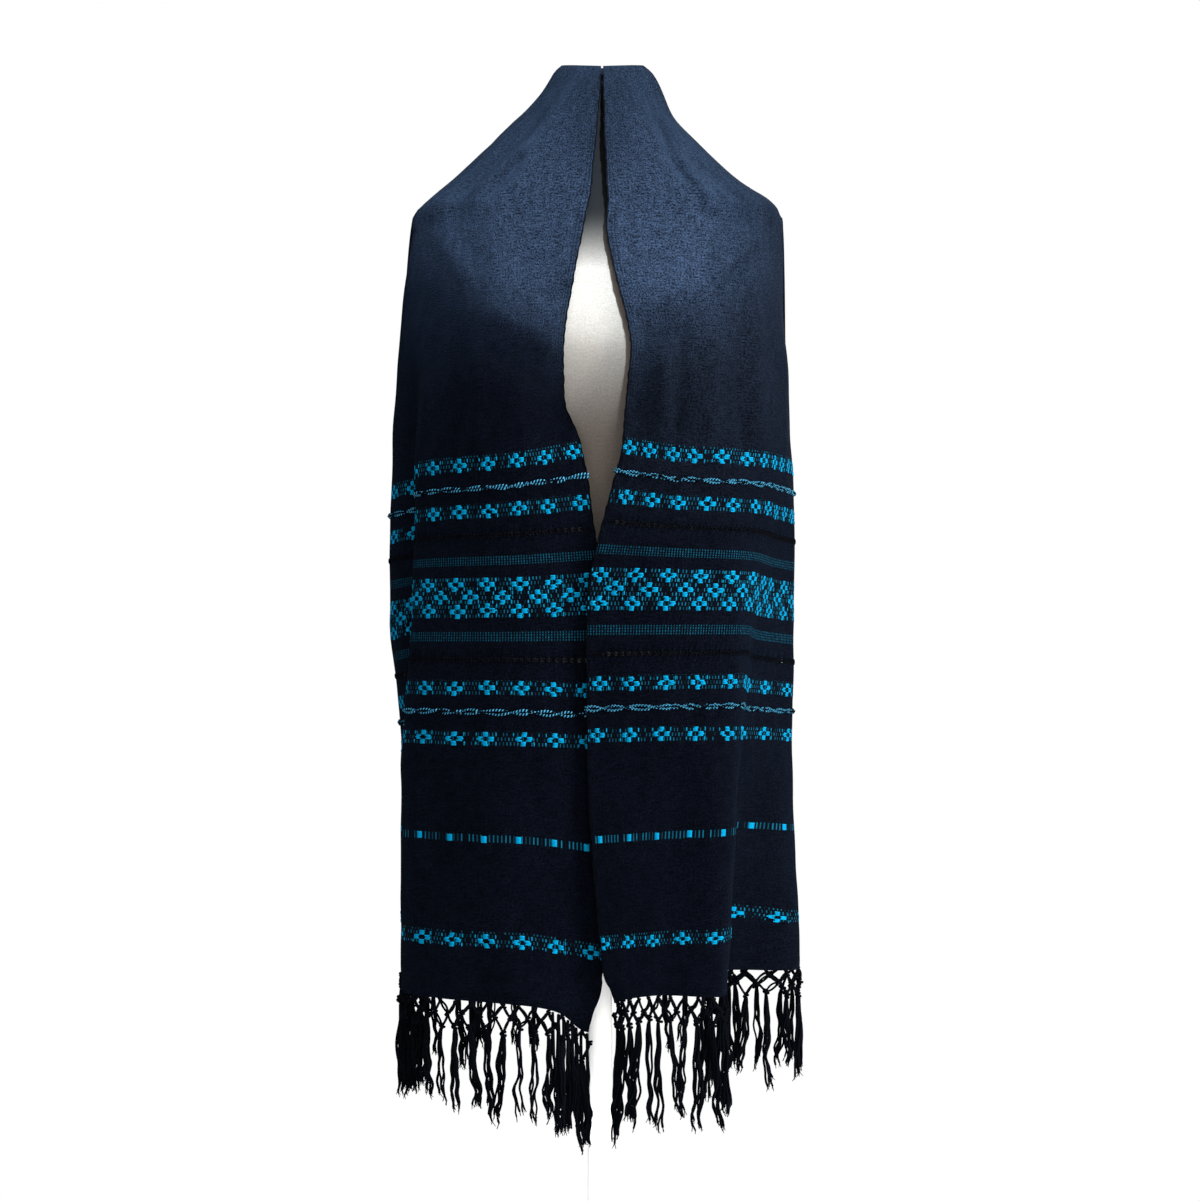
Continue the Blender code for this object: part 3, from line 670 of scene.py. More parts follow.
def inlay_ticks_group() -> NodeTree:
    """Build the group that marks the short inlay ticks between the motifs."""
    group, kit, given, made = new_group("Inlay ticks", {"Vector": None}, ("Mask", "Strength", "Ground"))
    reach = 0.6                      # heights on the cloth that the ramp covers
    black = (0.0, 0.0, 0.0, 1.0)
    across, up = kit.split(given["Vector"])[:2]
    ramp = kit.add("ValToRGB", {0: kit.math("DIVIDE", up, reach)})
    ramp.color_ramp.interpolation = "CONSTANT"
    stops = [(0.0, black)]
    for band in BANDS:
        colour = (band.height / reach, band.kind.value, 0.0, 1.0)
        stops += [((band.height - band.half) / reach, colour), ((band.height + band.half) / reach, black)]
    elements = ramp.color_ramp.elements
    for number, (position, colour) in enumerate(stops):
        element = elements[number] if number < 2 else elements.new(position)
        element.position, element.color = position, colour
    split = kit.add("SeparateColor", {0: ramp.outputs[0]})
    centre, kind = kit.times(split.outputs[0], reach), split.outputs[1]
    offset = kit.minus(up, centre)

    def ticks(rows_pitch: float, row_share: float, pitch: float, share: float,
              stagger: float = 0.5) -> tuple[NodeSocket, NodeSocket]:
        """Lay rows of ticks, every other row shifted by a share of the pitch.

        Args:
            rows_pitch: distance between rows.
            row_share: half of a tick's height, as a share of that.
            pitch: distance between ticks.
            share: half of a tick's width, as a share of that.
            stagger: how far every other row is shifted.

        Returns:
            Where the ticks are, and a chance number for each.
        """
        row = kit.math("DIVIDE", offset, rows_pitch)
        number = kit.math("ROUND", row)
        in_row = kit.below(kit.math("ABSOLUTE", kit.minus(row, number)), row_share)
        shift = kit.times(kit.math("FLOORED_MODULO", number, 2.0), stagger)
        step = kit.plus(kit.math("DIVIDE", across, pitch), shift)
        off = kit.math("ABSOLUTE", kit.minus(kit.math("FRACT", step), 0.5))
        place = kit.add("CombineXYZ", {0: kit.math("FLOOR", step), 1: number, 2: centre})
        chance = kit.add("TexWhiteNoise", {"Vector": place.outputs[0]}, noise_dimensions="3D")
        return kit.times(in_row, kit.below(off, share)), chance.outputs[0]

    is_band, is_motif = kit.above(kind, 0.1), kit.above(kind, 0.62)
    is_dash = kit.times(is_band, kit.below(kind, 0.38))
    is_check = kit.minus(kit.minus(is_band, is_motif), is_dash)
    kinds = ((ticks(0.0045, 0.36, 0.0034, 0.15), (0.15, 1.0, 0.0, 1.15), is_motif),
             (ticks(0.0025, 0.33, 0.0028, 0.18, 0.0), (0.0, 1.0, 0.30, 0.80), is_check),
             (ticks(0.0200, 0.40, 0.0038, 0.16), (0.1, 1.0, 0.0, 1.3), is_dash))
    kit.feed(made["Mask"], kit.plus(*(kit.times(tick, is_kind) for (tick, _), _, is_kind in kinds)))
    kit.feed(made["Strength"], kit.plus(*(kit.times(kit.spread(chance, *limits), is_kind)
                                          for (_, chance), limits, is_kind in kinds)))
    kit.feed(made["Ground"], is_band)
    return group


def twist_group() -> NodeTree:
    """Build the group that gives a spun yarn's twist and its loose fibres."""
    group, kit, given, made = new_group("Spun twist", {"Vector": None, "Pitch": 0.003},
                                        ("Height", "Fibres"))
    around, run = kit.split(given["Vector"])[:2]
    turns = kit.plus(kit.math("DIVIDE", run, given["Pitch"]), kit.times(around, 2.0))
    fibres = kit.noise(given["Vector"], (9.0, 1500.0, 1.0), 3.0)
    kit.feed(made["Height"], kit.plus(kit.times(kit.ridges(turns), 0.7), kit.times(fibres, 0.5)))
    kit.feed(made["Fibres"], fibres)
    return group


GROUPS = {"weave": plain_weave_group(), "ticks": inlay_ticks_group(), "twist": twist_group()}


@dataclass(frozen=True)
class Finish:
    """What every finish has: a name, a base colour and how it shines."""

    name: str
    colour: Colour
    roughness: float = 0.9
    sheen: float = 0.0
    sheen_colour: Colour = (1.0, 1.0, 1.0)
    bump: float = 0.3
    depth: float = 0.0004
    specular: float = 0.05
    sheen_roughness: float = 0.45

    def build(self) -> Material:
        """Make the material, with its plain settings on the shader itself."""
        material = bpy.data.materials.new(self.name)
        material.use_nodes = True
        material.diffuse_color = (*self.colour, 1.0)
        kit = NodeKit(material.node_tree)
        shader = material.node_tree.nodes["Principled BSDF"]
        settings = {"Base Color": (*self.colour, 1.0), "Roughness": self.roughness,
                    "Specular IOR Level": self.specular, "Sheen Weight": self.sheen,
                    "Sheen Roughness": self.sheen_roughness, "Sheen Tint": (*self.sheen_colour, 1.0)}
        for name, value in settings.items():
            shader.inputs[name].default_value = value
        self.dress(kit, shader)
        return material

    def dress(self, kit: NodeKit, shader: Node) -> None:
        """Add the finish's own nodes to its shader."""
        raise NotImplementedError

    def raise_surface(self, kit: NodeKit, shader: Node, height) -> None:
        """Feed a height through a bump to the shader's normal."""
        bump = kit.add("Bump", {"Height": height, "Strength": self.bump, "Distance": self.depth})
        kit.feed(shader.inputs["Normal"], bump.outputs[0])

    def tinted(self, factor: float) -> Colour:
        """Give the base colour made lighter or darker."""
        return tuple(channel * factor for channel in self.colour)


@dataclass(frozen=True)
class HandwovenCotton(Finish):
    """Slubby dark cotton with its inlaid ticks, navy in its middle, with painted light in a V over the chest
    and a painted highlight over the left of the chest.
    """

    tick: Colour = (0.009, 0.215, 0.375)
    ground: Colour = (0.0035, 0.0050, 0.0080)       # of the bands and the selvage's lines
    lint: Colour = (0.10, 0.15, 0.22)
    middle: Colour = (0.0150, 0.0222, 0.0400)       # navy between the patterned ends, partly painted light where the top light falls
    navy_and_light_right: Colour = (0.585, 0.665, 0.60)       # heights where the navy and painted light set in, and its rise
    navy_and_light_left: Colour = (0.420, 0.680, 0.25)
    navy_and_light_width: float = 0.21                        # how far across the rise of the painted light's edge goes on
    blur: float = 0.03                              # half of the change from side to side
    painted_highlight: float = 0.25                              # painted highlight over the left of the chest: how much paler
    painted_highlight_from: tuple[float, float] = (0.615, 0.665)
    painted_highlight_to: tuple[float, float] = (0.800, 0.700)
    painted_highlight_rise: float = 0.70
    nape: float = 0.72                              # how much darker the cloth is made by the neck
    nape_from: tuple[float, float] = (0.82, 0.90)
    slubs_from: tuple[float, float] = (0.40, 0.60)
    calm: tuple[float, float] = (0.38, 1.60)        # shade of thin and thick threads, in the ends
    rough: tuple[float, float] = (0.20, 1.82)       # and in the middle
    selvage: float = 0.011                          # width of the dark lined selvage
    selvage_pitch: float = 0.0036
    dark: float = 0.6                               # how much the ground colour covers

    def dress(self, kit: NodeKit, shader: Node) -> None:
        """Shade the cloth by its threads, its navy middle and its painted light, then add lint and ticks."""
        place = kit.add("UVMap", uv_map="Weave").outputs[0]
        weave = kit.group("weave", Vector=place, Warp=1250.0, Weft=1000.0, Slub=0.9)
        ticks = kit.group("ticks", Vector=place)
        across, up = kit.split(place)[:2]
        along = kit.math("FLOORED_MODULO", up, 2.0)
        aside = kit.math("MAXIMUM", kit.math("MINIMUM", across, self.navy_and_light_width),
                         kit.times(kit.above(up, 1.5), self.navy_and_light_width))
        x = kit.split(kit.add("TexCoord").outputs["Object"])[0]
        # The navy middle: its V-shaped lower edge is painted light, lighter above where the top light falls
        # and darker below in painted shade.
        navy_and_light_shares = [kit.spread(kit.minus(along, kit.times(aside, rise)), low, high)
                 for low, high, rise in (self.navy_and_light_right, self.navy_and_light_left)]
        change = kit.times(kit.spread(x, -self.blur, self.blur), kit.minus(navy_and_light_shares[1], navy_and_light_shares[0]))
        middle = kit.plus(navy_and_light_shares[0], change)
        # Painted highlight where the cloth over the left of the chest faces the light.
        painted_highlight = kit.times(kit.spread(kit.minus(along, kit.times(aside, self.painted_highlight_rise)), *self.painted_highlight_from),
                         kit.spread(along, *self.painted_highlight_to),
                         kit.spread(x, -self.blur, self.blur, 0.0, self.painted_highlight))
        calm, rough = (kit.spread(weave["Slubs"], *self.slubs_from, *shades)
                       for shades in (self.calm, self.rough))
        shade = kit.times(kit.plus(calm, kit.times(middle, kit.minus(rough, calm))),
                          kit.spread(kit.noise(place, (16.0, 9.0, 1.0), 3.0), 0.35, 0.65, 1.05, 0.78),
                          kit.spread(kit.noise(place, (105.0, 85.0, 1.0), 3.0), 0.34, 0.66, 0.82, 1.18),
                          kit.spread(along, *self.nape_from, 1.0, self.nape), kit.plus(painted_highlight, 1.0))
        grey = kit.add("CombineColor", {0: shade, 1: shade, 2: shade}).outputs[0]
        cloth = kit.mix(1.0, kit.mix(middle, self.colour, self.middle), grey, blend_type="MULTIPLY")
        # Lint specks, made stronger where the navy middle and painted light are.
        specks = kit.times(weave["Lint"], kit.spread(middle, 0.0, 1.0, 0.18, 0.5))
        cloth = kit.mix(specks, cloth, self.lint)
        near_edge = kit.above(kit.spread(across, 0.0, self.selvage, 1.0, 0.0), 0.01)
        lines = kit.below(kit.math("FRACT", kit.math("DIVIDE", across, self.selvage_pitch)), 0.3)
        cloth = kit.mix(kit.times(lines, near_edge, self.dark), cloth, self.ground)
        cloth = kit.mix(kit.times(ticks["Ground"], self.dark), cloth, self.ground)
        tick = kit.mix(ticks["Strength"], self.tinted(1.2), self.tick)
        kit.feed(shader.inputs["Base Color"], kit.mix(ticks["Mask"], cloth, tick))
        self.raise_surface(kit, shader, kit.plus(weave["Height"], kit.times(ticks["Mask"], 0.8)))


@dataclass(frozen=True)
class SpunYarn(Finish):
    """Twisted yarn, lighter or darker by its own tone, or plied of two colours."""

    second: Colour = (0.0, 0.0, 0.0)
    pitch: float = 0.0024
    ply: float = 0.0                 # length of one dark and light ply, none at 0
    dark_share: float = 0.64         # of that length

    def dress(self, kit: NodeKit, shader: Node) -> None:
        """Colour the yarn by its tone, its fibres and its plies."""
        place = kit.add("UVMap", uv_map="Yarn").outputs[0]
        tone = kit.add("Attribute", attribute_name="Tone").outputs["Fac"]
        twist = kit.group("twist", Vector=place, Pitch=self.pitch)
        yarn = kit.mix(tone, self.tinted(0.55), self.tinted(1.25))
        hollow = kit.mix(0.30, yarn, (0.0, 0.0, 0.0))
        yarn = kit.mix(kit.spread(twist["Fibres"], 0.35, 0.7), hollow, yarn)
        if self.ply:
            turns, run = kit.split(place)[:2]
            slant = kit.plus(kit.math("DIVIDE", run, self.ply), turns)
            dark = kit.below(kit.math("FRACT", slant), self.dark_share)
            yarn = kit.mix(kit.math("MAXIMUM", dark, kit.below(tone, -0.5)), yarn, self.second)
        kit.feed(shader.inputs["Base Color"], yarn)
        self.raise_surface(kit, shader, twist["Height"])


@dataclass(frozen=True)
class Linen(Finish):
    """Natural linen pulled over the form, with its neck painted near black as painted shade."""

    # Near-black neck colour: painted shade in the slit under the cloth.
    neck: Colour = (0.012, 0.0125, 0.014)
    neck_shade_from: tuple[float, float] = (1.284, 1.352)
    neck_shade_bend: float = 2.2           # how quickly the painted shade sets in

    def dress(self, kit: NodeKit, shader: Node) -> None:
        """Weave the linen and paint its neck dark as painted shade."""
        coordinates = kit.add("TexCoord").outputs["Object"]
        x, y, z = kit.split(coordinates)
        depth = kit.times(kit.math("ABSOLUTE", y), 0.35)
        place = kit.add("CombineXYZ", {0: kit.plus(x, depth), 1: z}).outputs[0]
        weave = kit.group("weave", Vector=place, Warp=900.0, Weft=820.0, Slub=0.5)
        linen = kit.mix(kit.spread(weave["Slubs"], 0.36, 0.64), self.tinted(0.84), self.tinted(1.10))
        cloud = kit.spread(kit.noise(coordinates, 14.0, 3.0), 0.35, 0.7, 0.0, 0.22)
        linen = kit.mix(cloud, linen, self.tinted(0.80))
        # Painted shade: the neck darkens softly upwards; covered is how much of it is painted.
        below_neck_shade = kit.spread(z, *self.neck_shade_from, 1.0, 0.0)
        covered = kit.minus(1.0, kit.math("POWER", below_neck_shade, self.neck_shade_bend))
        kit.feed(shader.inputs["Base Color"], kit.mix(covered, linen, self.neck))
        self.raise_surface(kit, shader, weave["Height"])


@dataclass(frozen=True)
class SatinPaint(Finish):
    """Satin paint with a faint ripple and dust."""

    def dress(self, kit: NodeKit, shader: Node) -> None:
        """Dull the paint where dust lies."""
        coordinates = kit.add("TexCoord").outputs["Object"]
        dust = kit.noise(coordinates, 22.0, 5.0)
        kit.feed(shader.inputs["Base Color"],
                 kit.mix(kit.spread(dust, 0.4, 0.75), self.colour, self.tinted(0.90)))
        kit.feed(shader.inputs["Roughness"],
                 kit.spread(dust, 0.3, 0.75, self.roughness - 0.08, self.roughness + 0.15))
        self.raise_surface(kit, shader, kit.noise(coordinates, 260.0))


@dataclass(frozen=True)
class Floor(Finish):
    """Pale seamless floor."""

    def dress(self, kit: NodeKit, shader: Node) -> None:
        """Vary the floor's colour a little."""
        soft = kit.noise(kit.add("TexCoord").outputs["Object"], 3.0, 3.0)
        kit.feed(shader.inputs["Base Color"], kit.mix(soft, self.tinted(0.97), self.colour))


NAVY_COTTON = HandwovenCotton("Navy black cotton", (0.0037, 0.0052, 0.0116), 0.95, 0.05, (0.30, 0.54, 1.0),
                              bump=0.9, depth=0.0008, specular=0.02)
BROCADE_YARN = SpunYarn("Turquoise brocade yarn", (0.001, 0.54, 1.0), 0.7, 0.0, (0.5, 0.8, 1.0),
                        bump=0.35, depth=0.0003, specular=0.06, pitch=0.0009)
ROPE_YARN = SpunYarn("Light blue and black rope yarn", (0.12, 0.60, 0.98), 0.85, 0.0, (0.5, 0.8, 1.0),
                     bump=0.6, specular=0.03, second=(0.004, 0.006, 0.011), pitch=0.0017, ply=0.0031)
DARK_YARN = SpunYarn("Black cotton yarn", (0.0036, 0.0045, 0.0073), 0.95, 0.035, (0.45, 0.6, 1.0),
                     bump=0.7, specular=0.02, pitch=0.0030)
OPENWORK_YARN = SpunYarn("Charcoal cotton yarn", (0.017, 0.020, 0.029), 0.95, 0.03, (0.45, 0.6, 1.0),
                         bump=0.7, specular=0.02, second=(0.0016, 0.0020, 0.0032), pitch=0.0020, ply=0.0036)
FORM_LINEN = Linen("Natural linen", (0.44, 0.380, 0.340), 0.95, 0.03, (1.0, 0.97, 0.92),
                   bump=0.45, depth=0.0003)
STAND_PAINT = SatinPaint("White paint", (0.87, 0.87, 0.86), 0.45, bump=0.08, depth=0.0002, specular=0.3)
STUDIO_FLOOR = Floor("Pale floor", (0.82, 0.82, 0.81), 0.85)


# The cloth

@dataclass
class Panel:
    """The finished outer surface of one hanging end, readable by cloth position."""

    side: Side
    points: Array            # (rows, columns, 3)
    across: Array            # distance from the inner selvage of each column
    heights: Array           # height on the cloth of each row, falling
    marks: dict[str, float]  # distance across of each named station
    reach: float = 0.0015    # how far apart two points are read for a direction

    @property
    def width(self) -> float:
        """Distance across from the inner to the outer selvage."""
        return float(self.across[-1])

    def at(self, across: Array, height: Array) -> Array:
        """Read points of the surface, carried on past its edges.

        Args:
            across: distances from the inner selvage, shape (n,).
            height: heights on the cloth, shape (n,).

        Returns:
            Points, shape (n, 3).
        """
        row = np.interp(-np.asarray(height, float), -self.heights, np.arange(len(self.heights)))
        column = np.interp(across, self.across, np.arange(len(self.across)))
        r = np.clip(row.astype(int), 0, len(self.heights) - 2)
        c = np.clip(column.astype(int), 0, len(self.across) - 2)
        s, t = (row - r)[:, None], (column - c)[:, None]
        grid = self.points
        here = ((grid[r, c] * (1 - t) + grid[r, c + 1] * t) * (1 - s)
                + (grid[r + 1, c] * (1 - t) + grid[r + 1, c + 1] * t) * s)
        before = np.minimum(np.asarray(across, float), 0.0)[:, None]
        return here + unit(grid[r, 1] - grid[r, 0]) * before

    def frame_at(self, across: Array | float, height: Array | float) -> tuple[Array, Array, Array, Array]:
        """Read points with their directions across, up and outwards.

        Args:
            across: distances from the inner selvage, shape (n,), or one for all.
            height: heights on the cloth, shape (n,), or one for all.

        Returns:
            Points, unit across, unit up and unit outward vectors, each (n, 3).
        """
        across, height = np.broadcast_arrays(np.atleast_1d(across), np.atleast_1d(height))
        reach = self.reach
        sideways = unit(self.at(across + reach, height) - self.at(np.maximum(across - reach, 0.0), height))
        upward = unit(self.at(across, height + 2.0 * reach) - self.at(across, height - 2.0 * reach))
        outward = unit(np.cross(sideways, upward) * self.side.value)
        return self.at(across, height), sideways, upward, outward


@dataclass
class ShawlCloth:
    """The whole length of cloth: two hanging ends, the back and hidden pleats."""

    wall: float = 0.0010
    front_columns: tuple[int, ...] = (26, 26, 13, 14, 13, 11, 12, 12)
    pleat_columns: int = 8
    back_columns: tuple[int, ...] = (14, 18, 20)
    pleat_gap: float = 0.0045
    level_step: float = 0.002        # between the drawn plan curves
    reference: float = 0.950         # level at which distances across are taken
    rim_front: float = 0.0015        # how much higher than the solids the rim stands
    rim_rise: float = 0.0185         # and how much more at the nape
    rim_reach: float = 0.045
    rim_depth: float = 0.041         # the rim's half size from front to back
    corner_rise: float = 0.036       # how high the pull at a lower corner reaches
    corner_back: float = 0.006       # and how far it sets the corner back
    hidden: float = 0.03             # keeps the back's map clear of the selvage's lines
    behind: float = 2.0              # what marks the back in the cloth's map
    flat: tuple[float, float] = (0.62, 2.08)
    panels: dict[Side, Panel] = field(default_factory=dict)

    def heights(self) -> Array:
        """List the rows' heights on the cloth, falling from the turned-in lip."""
        start = LIP_KNOT - RIGHT_HEM
        upper, lower = OPENWORK_HEIGHTS
        rows = [start]
        for stop, count in ((NECK_TOP - RIGHT_HEM, 3), (0.772, 46),
                            (upper + OPENWORK_HALF, 42), (upper - OPENWORK_HALF, 1),
                            (lower + OPENWORK_HALF, 12), (lower - OPENWORK_HALF, 1),
                            (BACK_HEM_HEIGHT, 1), (0.0, 34)):
            rows += list(start + (stop - start) * np.arange(1, count + 1) / count)
            start = stop
        return np.array(rows)

    def levels(self, bottom: float) -> Array:
        """List the close levels of a drape, from below its hem to the lip."""
        levels = np.arange(bottom - UNDER_HEM, LIP_KNOT + 0.0005, self.level_step)
        levels[-1] = LIP_KNOT
        return levels

    def front_levels(self, side: Side) -> tuple[Array, Array, list[int]]:
        """Draw one end's plan curves at close levels.

        Args:
            side: which end.

        Returns:
            Rising knots, plan points at each and the stations' columns.
        """
        slit_heights, slit_x = np.array(SLIT[side]).T
        knots = [row[0] for row in HANG[side][::-1]]
        stations = [row[1:] for row in HANG[side][::-1]]
        turns = np.radians(YOKE_ANGLES)
        for row in YOKE[::-1]:
            half = side.value * (row.right_half if side is Side.RIGHT else row.left_half)
            edge = float(steady_curve(slit_heights, slit_x, np.array([row.height]))[0])
            knots.append(row.knot)
            ring = [(half * math.sin(a), row.front * math.cos(a)) for a in turns]
            stations.append([(edge, row.front), *ring])
        levels = self.levels(knots[0])
        plan = steady_curve(np.array(knots), np.array(stations), levels)
        for _ in range(LEVEL_EASING):
            ease_rows(plan)
        return levels, *section_grid(plan, self.front_columns)

    def back_levels(self) -> tuple[Array, Array]:
        """Draw the back's plan curves, right to left, at close levels."""
        knots, stations = [], []
        for height, right_fold, right_corner, left_fold, left_corner, blade, spine in BACK_HANG[::-1]:
            knots.append(height)
            stations.append([right_fold, right_corner, (-BLADE_X, blade), (0.0, spine), (BLADE_X, blade),
                             left_corner, left_fold])
        turns = [math.radians(a) for a in BACK_ANGLES]
        for row in YOKE[::-1]:
            knots.append(row.knot)
            right, left = ([(half * math.cos(a), row.back * math.sin(a)) for a in turns]
                           for half in (-row.right_half, row.left_half))
            stations.append([(-row.right_half, SEAM_GAP), *right, (0.0, row.back), *left[::-1],
                             (row.left_half, SEAM_GAP)])
        levels = self.levels(BACK_HEM)
        plan = steady_curve(np.array(knots), np.array(stations), levels)
        return levels, section_grid(plan, self.back_columns + self.back_columns[::-1])[0]

    @staticmethod
    def read_levels(levels: Array, grid: Array, knots: Array) -> Array:
        """Read a drawn drape where each point has its own knot.

        Args:
            levels: rising knots of the drawn curves.
            grid: plan points, shape (levels, columns, 2).
            knots: wanted knots, shape (rows, columns).

        Returns:
            Points, shape (rows, columns, 3).
        """
        place = np.interp(knots, levels, np.arange(len(levels)))
        low = np.clip(place.astype(int), 0, len(levels) - 2)
        share = (place - low)[..., None]
        column = np.broadcast_to(np.arange(grid.shape[1]), knots.shape)
        plan = grid[low, column] * (1.0 - share) + grid[low + 1, column] * share
        return np.concatenate([plan, knot_height(knots)[..., None]], axis=2)

    def raise_rim(self, points: Array, knots: Array) -> Array:
        """Let the rim stand higher at the sides and the nape than at the front."""
        share = smoothstep((knots - (NECK_TOP - self.rim_reach)) / self.rim_reach)
        behind = np.clip((points[..., 1] + self.rim_depth) / (2.0 * self.rim_depth), 0.0, 1.0)
        points[..., 2] += share * (self.rim_front + self.rim_rise * behind ** 0.8)
        return points

    def pull_corner(self, side: Side, points: Array, heights: Array, across: Array) -> None:
        """Draw an end's inner lower corner aside, and let it droop or lift."""
        aside, droop, reach = CORNER_PULL[side]
        low = smoothstep((self.corner_rise - heights) / self.corner_rise)[:, None]
        near = np.exp(-(across / reach) ** 2)[None, :]
        for axis, pull in enumerate((aside, self.corner_back, -droop)):
            points[..., axis] += pull * low * near

    @staticmethod
    def sag(side: Side, heights: Array, across: Array, stops: Array) -> Array:
        """Give how far the cloth sags at each row and column, in metres."""
        table = np.array(SAG[side])[::-1]
        rows = steady_curve(table[:, 0], table[:, 1:], heights) * MM
        fade = smoothstep((0.78 - heights) / 0.10)
        return np.array([steady_curve(stops[:5], row, across) for row in rows]) * fade[:, None]

    @staticmethod
    def wander(side: Side, heights: Array, across: Array, points: Array) -> Array:
        """Give the outward waves, creases and small unevenness of one end."""
        u, w = across[None, :], heights[:, None]
        x, z = points[..., 0], points[..., 2]
        loose = smoothstep((0.62 - w) / 0.30)
        phase = 0.4 if side is Side.RIGHT else 2.1
        run = side.value * x + 0.8 * (points[..., 1] + 0.15)
        seed = 70 + side.value
        made = 1.2 * loose * soft_noise(run, 0.45 * w, 0.085, seed)
        made += 0.42 * soft_noise(run, w, 0.048, seed + 10) + 0.20 * soft_noise(run, w, 0.021, seed + 20)
        made += np.exp(-u / 0.012) * (0.9 * np.sin(TURN * w / 0.071 + phase)
                                      + 0.5 * np.sin(TURN * w / 0.023 + phase))
        for x0, z0, x1, z1, out, wide in CREASES[side]:
            along_x, along_z = x1 - x0, z1 - z0
            length = math.hypot(along_x, along_z)
            t = np.clip(((x - x0) * along_x + (z - z0) * along_z) / length ** 2, 0.0, 1.0)
            away = np.hypot(x - x0 - t * along_x, z - z0 - t * along_z)
            strength = smoothstep((t + 0.05) / 0.25) * smoothstep((1.05 - t) / 0.25)
            made += out * strength * np.exp(-(away / wide) ** 2)
        keep = smoothstep(w / 0.02 + 0.4) * smoothstep((u[0, -1] - u) / 0.05) * smoothstep((0.94 - w) / 0.03)
        return made * MM * keep

    def front(self, side: Side, heights: Array) -> Panel:
        """Shape one hanging end's outer surface."""
        levels, grid, marks = self.front_levels(side)
        across = run_along(grid[int(np.argmin(np.abs(levels - self.reference)))])
        stops = across[marks]
        knots = cloth_knot(side, heights)[:, None] - self.sag(side, heights, across, stops)
        points = self.raise_rim(self.read_levels(levels, grid, knots), knots)
        self.pull_corner(side, points, heights, across)
        normal = level_normal(points) * side.value
        points[..., :2] += normal * self.wander(side, heights, across, points)[..., None]
        return Panel(side, points, across, heights, dict(zip(STATIONS, stops)))

    def back(self, heights: Array) -> tuple[Array, Array]:
        """Shape the back stretch, right to left.

        Args:
            heights: heights on the cloth of its rows.

        Returns:
            Its points, shape (rows, columns, 3), and unit plan directions inwards.
        """
        levels, grid = self.back_levels()
        blend = np.linspace(0.0, 1.0, grid.shape[1])[None, :]
        knots = (cloth_knot(Side.RIGHT, heights)[:, None] * (1.0 - blend)
                 + cloth_knot(Side.LEFT, heights)[:, None] * blend)
        points = self.raise_rim(self.read_levels(levels, grid, knots), knots)
        inward = level_normal(points)
        x, z = points[..., 0], points[..., 2]
        fall = smoothstep((SHOULDER - z) / 0.25)
        ripple = (1.6 * np.sin(TURN * x / 0.115 + 0.6) + 0.9 * np.sin(TURN * x / 0.061 + 1.9)
                  + 0.4 * np.sin(TURN * (z / 0.09 + x / 0.13)))
        quiet = smoothstep(blend / 0.15) * smoothstep((1.0 - blend) / 0.15)
        points[..., :2] -= inward * (ripple * MM * fall * quiet)[..., None]
        return points, inward

    def pleat(self, end: Array, back: Array, inward: Array) -> Array:
        """Shape the hidden layer between an end's outer selvage and the back's fold.

        Args:
            end: the outer selvage, shape (rows, 3).
            back: the back's first columns, from its fold, shape (rows, n, 3).
            inward: plan direction from the back's outside, shape (rows, n, 2).

        Returns:
            Points between the two, from end to fold, shape (rows, columns, 3).
        """
        t = np.linspace(0.0, 1.0, self.pleat_columns + 2)[1:-1]
        near = smoothstep((t - 0.55) / 0.45)[:, None]
        made = []
        for stop, line, turns in zip(end, back, inward):
            nearest = int(np.argmin(np.linalg.norm(line[:, :2] - stop[:2], axis=1)))
            run = np.arange(nearest + 1)
            follow, turn = (
                np.stack([np.interp(t * nearest, run, values[:nearest + 1, axis])
                          for axis in range(values.shape[1])], axis=1) for values in (line, turns))
            span = float(np.linalg.norm(line[0, :2] - stop[:2]))
            gap = min(self.pleat_gap, 0.3 * span) * smoothstep(t / 0.2)
            follow[:, :2] += turn * gap[:, None]
            row = follow * (1.0 - near) + stop * near
            row[:, 2] = line[0, 2] * (1.0 - t) + stop[2] * t
            made.append(row[::-1])
        return np.array(made)

    def sew(self, heights: Array, strips: dict[str, tuple[Array, Array]]) -> bpy.types.Mesh:
        """Turn strips of points into one sheet, with the openwork's holes left out.

        Args:
            heights: height on the cloth of each row.
            strips: points and distances across of the right end, the back and
                the left end, by name.

        Returns:
            The mesh of the sheet, without its thickness.
        """
        builder = bmesh.new()
        uv = builder.loops.layers.uv.new("Weave")
        lines = {name: [[builder.verts.new(spot) for spot in row] for row in strips[name][0]]
                 for name in ("right", "left", "back")}

        def face(corners: tuple, marks: tuple) -> None:
            """Add a face with a map position for each corner."""
            for loop, mark in zip(builder.faces.new(corners).loops, marks):
                loop[uv].uv = mark

        for name, rows in lines.items():
            run = strips[name][1]
            begin, raised = (self.hidden, self.behind) if name == "back" else (0.0, 0.0)
            for i, (upper, lower) in enumerate(zip(rows, rows[1:])):
                top, bottom = heights[i], heights[i + 1]
                level = (top + bottom) / 2
                is_open = name != "back" and any(abs(level - h) < 1e-4 for h in OPENWORK_HEIGHTS)
                for j in range(len(run) - 1):
                    if is_open and 2 < j < len(run) - 4 and j % 2 == 0:
                        continue
                    u, next_u = run[j] + begin, run[j + 1] + begin
                    face((upper[j], upper[j + 1], lower[j + 1], lower[j]),
                         ((u, top + raised), (next_u, top + raised), (next_u, bottom + raised),
                          (u, bottom + raised)))
        for i in range(len(lines["back"]) - 1):
            top, bottom = self.behind + heights[i], self.behind + heights[i + 1]
            for first, second in ((lines["right"], lines["back"]), (lines["back"], lines["left"])):
                face((first[i][-1], second[i][0], second[i + 1][0], first[i + 1][-1]),
                     ((self.hidden, top), (self.hidden, top), (self.hidden, bottom), (self.hidden, bottom)))
        bmesh.ops.remove_doubles(builder, verts=builder.verts, dist=2e-5)
        bmesh.ops.dissolve_degenerate(builder, edges=builder.edges, dist=1e-6)
        mesh = bpy.data.meshes.new("rebozo_cloth")
        builder.to_mesh(mesh)
        builder.free()
        return mesh

